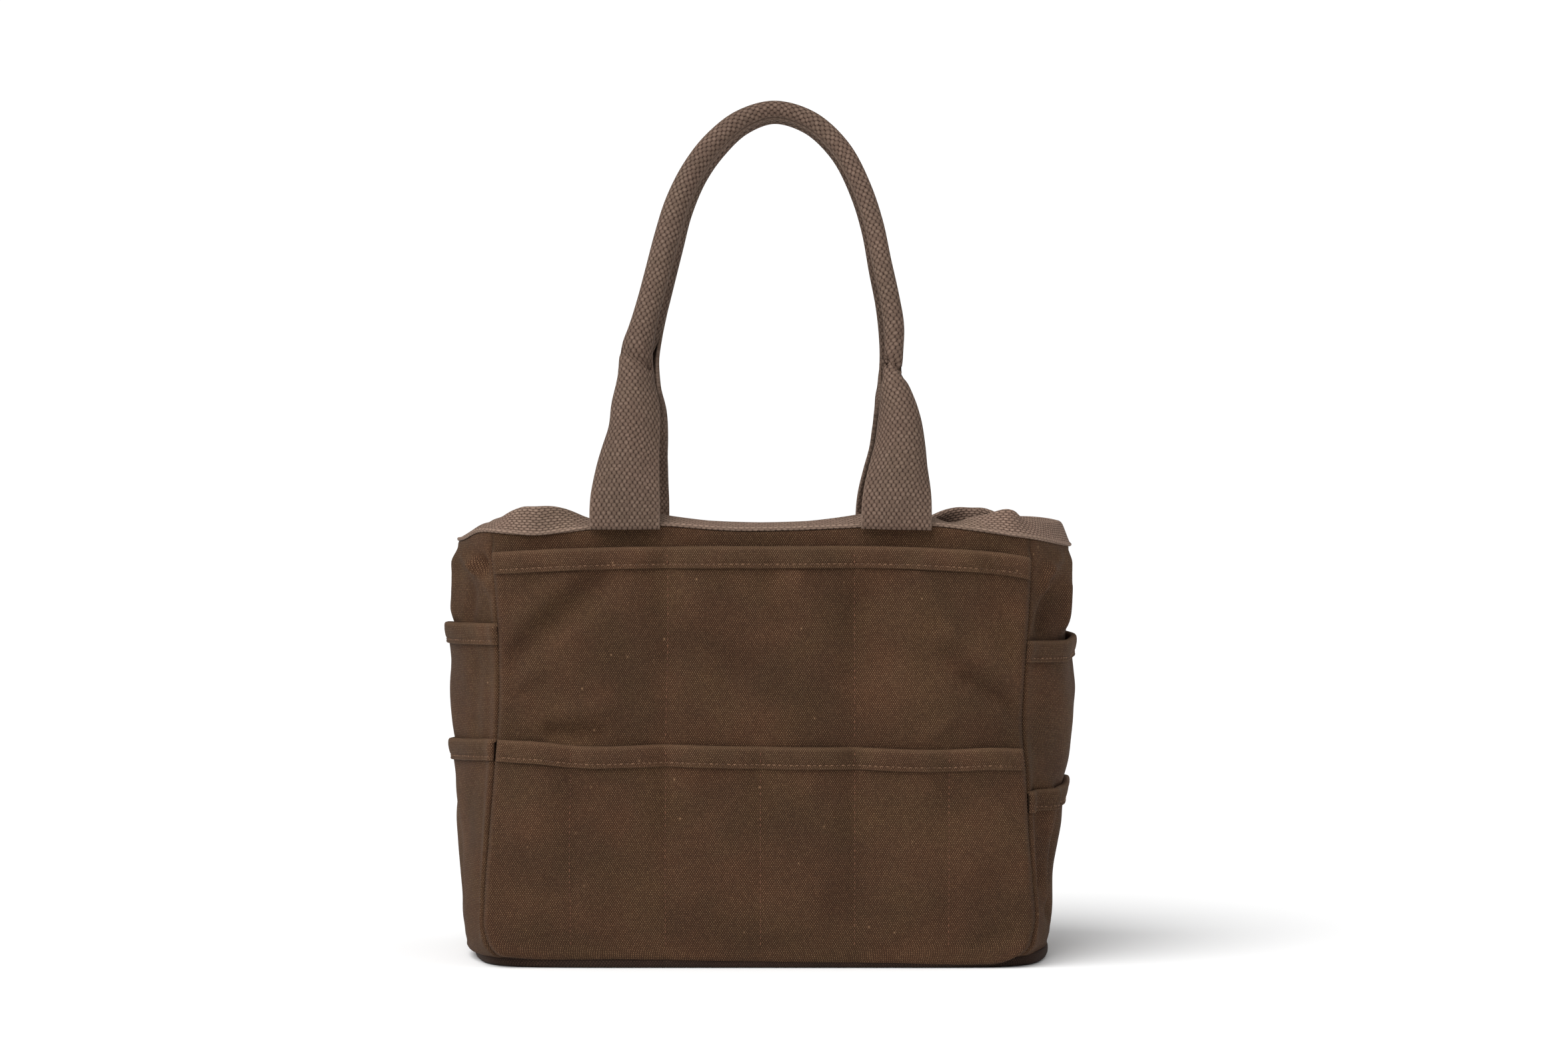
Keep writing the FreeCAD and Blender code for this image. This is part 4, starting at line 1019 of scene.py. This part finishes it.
# Stations of the front handle from its left end over the top to its right end: place across and up,
# width as seen, how much more the outer half curls than the inner half, and the turn of the roll.
HANDLE_STATIONS = [
    (-77.3, 250.0, 40.0, 0.0, 0), (-77.3, 262.0, 39.7, 0.3, 0), (-76.5, 276.5, 37.2, 0.9, 0),
    (-74.9, 292.0, 33.3, 0.95, 0), (-72.3, 308.0, 28.2, 0.95, 0), (-71.9, 323.0, 25.6, 0.9, -4),
    (-72.0, 338.0, 19.0, 0.7, -18), (-71.7, 353.0, 16.5, 0.4, -45), (-68.6, 366.0, 13.8, 0.15, -70),
    (-64.3, 382.8, 12.6, 0.0, -85), (-59.5, 401.7, 12.9, 0.0, -92), (-54.7, 420.6, 13.3, 0.0, -95),
    (-49.3, 439.7, 12.9, 0.0, -100), (-38.5, 462.8, 12.2, 0.0, -105), (-27.9, 477.0, 12.0, 0.0, -108),
    (-11.5, 491.0, 10.9, 0.0, -112), (6.6, 496.9, 9.9, 0.0, -112), (27.8, 491.2, 9.8, 0.0, -110),
    (45.6, 475.2, 9.6, 0.0, -105), (58.9, 450.0, 9.2, 0.0, -100), (65.3, 430.0, 9.2, 0.0, -98),
    (70.2, 405.3, 9.3, 0.0, -95), (74.4, 384.9, 9.4, 0.0, -88), (76.8, 367.0, 9.9, 0.0, -80),
    (76.6, 350.0, 8.6, 0.1, -60), (75.8, 339.3, 9.0, 0.3, -30), (76.5, 333.0, 13.0, 0.45, -12),
    (78.0, 325.0, 17.6, 0.5, -4), (79.2, 315.6, 22.0, 0.5, 0), (79.7, 300.0, 27.0, 0.5, 0),
    (78.5, 284.0, 33.0, 0.5, 0), (77.6, 267.0, 38.6, 0.3, 0), (77.2, 250.0, 40.0, 0.0, 0),
]
LEAN_START = 265.5  # the height where the strap leaves the rim and leans in
STRAP_FOOT_Y = -83.0
ROLL_START = 376.0  # the height where the strap has closed round its cord
LEAN_SOFT = 4.0  # over how much height the lean sets in
STRAP_POINTS = 33  # points over the strap's width
CORD_RADIUS = 2.6
GRIP_Y = -7.6  # the grip's middle at the top of the arch
CREASES = [((-80, 354), (-64, 343), 3.0, 3.6), ((84, 337), (73.5, 348), 2.0, 4.0)]


def section_curve(curl, bias, turn, count=41):
    """The strap's section as (towards the inner side, outward) places, evenly spaced over its width."""
    half = np.minimum(STRAP_WIDTH / 2, 0.965 * np.pi / np.maximum(curl, 1e-4))
    t = np.linspace(-1, 1, count) * half
    bend = curl * (1 - bias * t / half)
    gap = t[1] - t[0]

    def summed(values):
        return np.concatenate([[0], np.cumsum((values[1:] + values[:-1]) / 2 * gap)])

    angle = summed(bend)
    angle = angle - angle[count // 2] + np.radians(turn)
    across, outward = summed(np.cos(angle)), -summed(np.sin(angle))
    across = across - (across.max() + across.min()) / 2
    outward = outward - (outward.max() + outward.min()) / 2
    return t, across, outward


def curl_for(width, bias, turn):
    """The curl that makes the strap look that wide."""
    low, high = 1e-4, 0.3
    for _ in range(40):
        middle = (low + high) / 2
        across = section_curve(middle, bias, turn)[1]
        if across.max() - across.min() > width:
            low = middle
        else:
            high = middle
    return (low + high) / 2


def make_handle(side, stations):
    """A strap that is flat at its ends and rolls into a round grip, with a cord in the roll.
    side is -1 in front and 1 at the back."""
    name = "front_handle" if side < 0 else "back_handle"
    stations = np.array(stations, float)
    travelled = travel(stations[:, :2])
    curls = [curl_for(width, bias, turn) for _, _, width, bias, turn in stations]
    s = np.linspace(0, travelled[-1], int(travelled[-1] / GRID))

    def read(values):
        return through(list(zip(travelled, values)), s)

    x, z = read(stations[:, 0]), read(stations[:, 1])
    curl, bias, turn = read(curls), read(stations[:, 3]), read(stations[:, 4])
    slope = (GRIP_Y - STRAP_FOOT_Y) / (stations[:, 1].max() - LEAN_START)
    lift = np.maximum(z - LEAN_START, 0)
    soft = LEAN_SOFT * (np.exp(-np.abs(z - LEAN_START) / LEAN_SOFT) - np.exp(-LEAN_START / LEAN_SOFT))
    y = STRAP_FOOT_Y + slope * (lift + soft)
    path = np.stack([x, y, z], -1)
    tangent = unit(np.gradient(path, axis=0))
    tilt = slope * step(LEAN_START - 6, LEAN_START + 6, z)
    outward = unit(np.stack([np.zeros_like(z), -np.ones_like(z), tilt], -1))
    inner = unit(np.cross(tangent, outward))
    grid, uv = np.zeros((len(s), STRAP_POINTS, 3)), np.zeros((len(s), STRAP_POINTS, 2))
    for i in range(len(s)):
        t, across, out = section_curve(curl[i], bias[i], turn[i], STRAP_POINTS)
        grid[i] = path[i] + across[:, None] * inner[i] + out[:, None] * outward[i]
        uv[i, :, 0] = t
        uv[i, :, 1] = s[i]
    for start, end, width, depth in CREASES:
        gap = line_gap(grid[..., 0], grid[..., 2], start, end)
        facing = step(-0.5, 2.5, ((grid - path[:, None]) * outward[:, None]).sum(-1))
        grid = grid - (depth * np.exp(-(gap / width) ** 2) * facing)[..., None] * outward[:, None]
    edge = np.broadcast_to(step(0.92, 0.99, np.abs(np.linspace(-1, 1, STRAP_POINTS))), grid.shape[:2]).copy()
    if side > 0:
        grid = grid * np.array([1, -1, 1])
    outer = grid + normals(grid) * WEBBING / 2 * (1 if side < 0 else -1)
    if side > 0:
        outer, uv, edge = outer[:, ::-1], uv[:, ::-1], edge[:, ::-1]
    rolled = path[z > ROLL_START] * np.array([1, -side, 1])
    return sheet_mesh(name + "_webbing", outer, WEBBING, handle_webbing, uv, edge), rolled


def make_cord(name, path):
    """The soft cord that fills a roll."""
    tangent = unit(np.gradient(path, axis=0))
    sideways = unit(np.cross(tangent, np.array([0, 1.0, 0])))
    upward = np.cross(sideways, tangent)
    angle = np.linspace(0, 2 * np.pi, 12, endpoint=False)
    radius = CORD_RADIUS * np.minimum(1, 0.4 + np.minimum(np.arange(len(path)), np.arange(len(path))[::-1]) / 3)
    ring = sideways[:, None] * np.cos(angle)[None, :, None] + upward[:, None] * np.sin(angle)[None, :, None]
    grid = path[:, None] + ring * radius[:, None, None]
    piece = band_mesh(name + "_cord", grid, cord_yarn, False, table(travel(path), CORD_RADIUS * angle))
    return finish_piece(piece, name, [name + "_core"])


for side, name in ((-1, "front_handle"), (1, "back_handle")):
    strap, rolled = make_handle(side, HANDLE_STATIONS)
    make_cord(name, rolled)
    row = name.split("_")[0]
    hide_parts(name + "_strap", row + "_left_handle_tab", row + "_right_handle_tab")
    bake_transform(strap)


# ---------------------------------------------------------------- camera, floor and light

AMBIENT, BACKDROP = 0.36, 1.05  # the world's strength as a light, and as the camera sees it
CAMERA_PLACE, CAMERA_LENS = (0.0133, -2.09, 0.254), 81.0
FLOOR_REACH = 30.0


def add_sun(name, strength, spread, direction):
    data = bpy.data.lights.new(name, "SUN")
    data.energy = strength
    data.angle = math.radians(spread)
    add_object(name, data).rotation_euler = Vector(direction).to_track_quat("-Z", "Y").to_euler()


def make_stage():
    mesh = bpy.data.meshes.new("floor")
    square = [(x * FLOOR_REACH, y * FLOOR_REACH, 0) for x, y in ((-1, -1), (1, -1), (1, 1), (-1, 1))]
    mesh.from_pydata(square, [], [(0, 1, 2, 3)])
    shader = Shader("floor_paint")
    shader.dress(shader.surface, {"Base Color": (0.93, 0.93, 0.93, 1.0), "Roughness": 0.9,
                                  "Specular IOR Level": 0.0})
    mesh.materials.append(shader.material)
    floor = add_object("floor", mesh)
    world = bpy.data.worlds.new("studio")
    world.use_nodes = True
    tree = world.node_tree
    background = tree.nodes["Background"]
    background.inputs["Color"].default_value = (1.0, 1.0, 1.0, 1.0)
    strength = tree.nodes.new("ShaderNodeMapRange")  # white backdrop, dimmer as a light
    strength.inputs["To Min"].default_value = AMBIENT
    strength.inputs["To Max"].default_value = BACKDROP
    path = tree.nodes.new("ShaderNodeLightPath")
    tree.links.new(path.outputs["Is Camera Ray"], strength.inputs["Value"])
    tree.links.new(strength.outputs[0], background.inputs["Strength"])
    bpy.context.scene.world = world
    add_sun("key", strength=3.0, spread=55.0, direction=(0.55, 0.60, -1.0))
    add_sun("fill", strength=0.55, spread=80.0, direction=(-0.6, 0.5, -1.0))
    bpy.context.scene.view_settings.view_transform = "Standard"


def make_camera():
    data = bpy.data.cameras.new("camera")
    data.lens, data.sensor_width = CAMERA_LENS, 36.0
    camera = add_object("camera", data)
    camera.location = CAMERA_PLACE
    camera.rotation_euler = (math.radians(90), 0, 0)
    bpy.context.scene.camera = camera


make_stage()
make_camera()
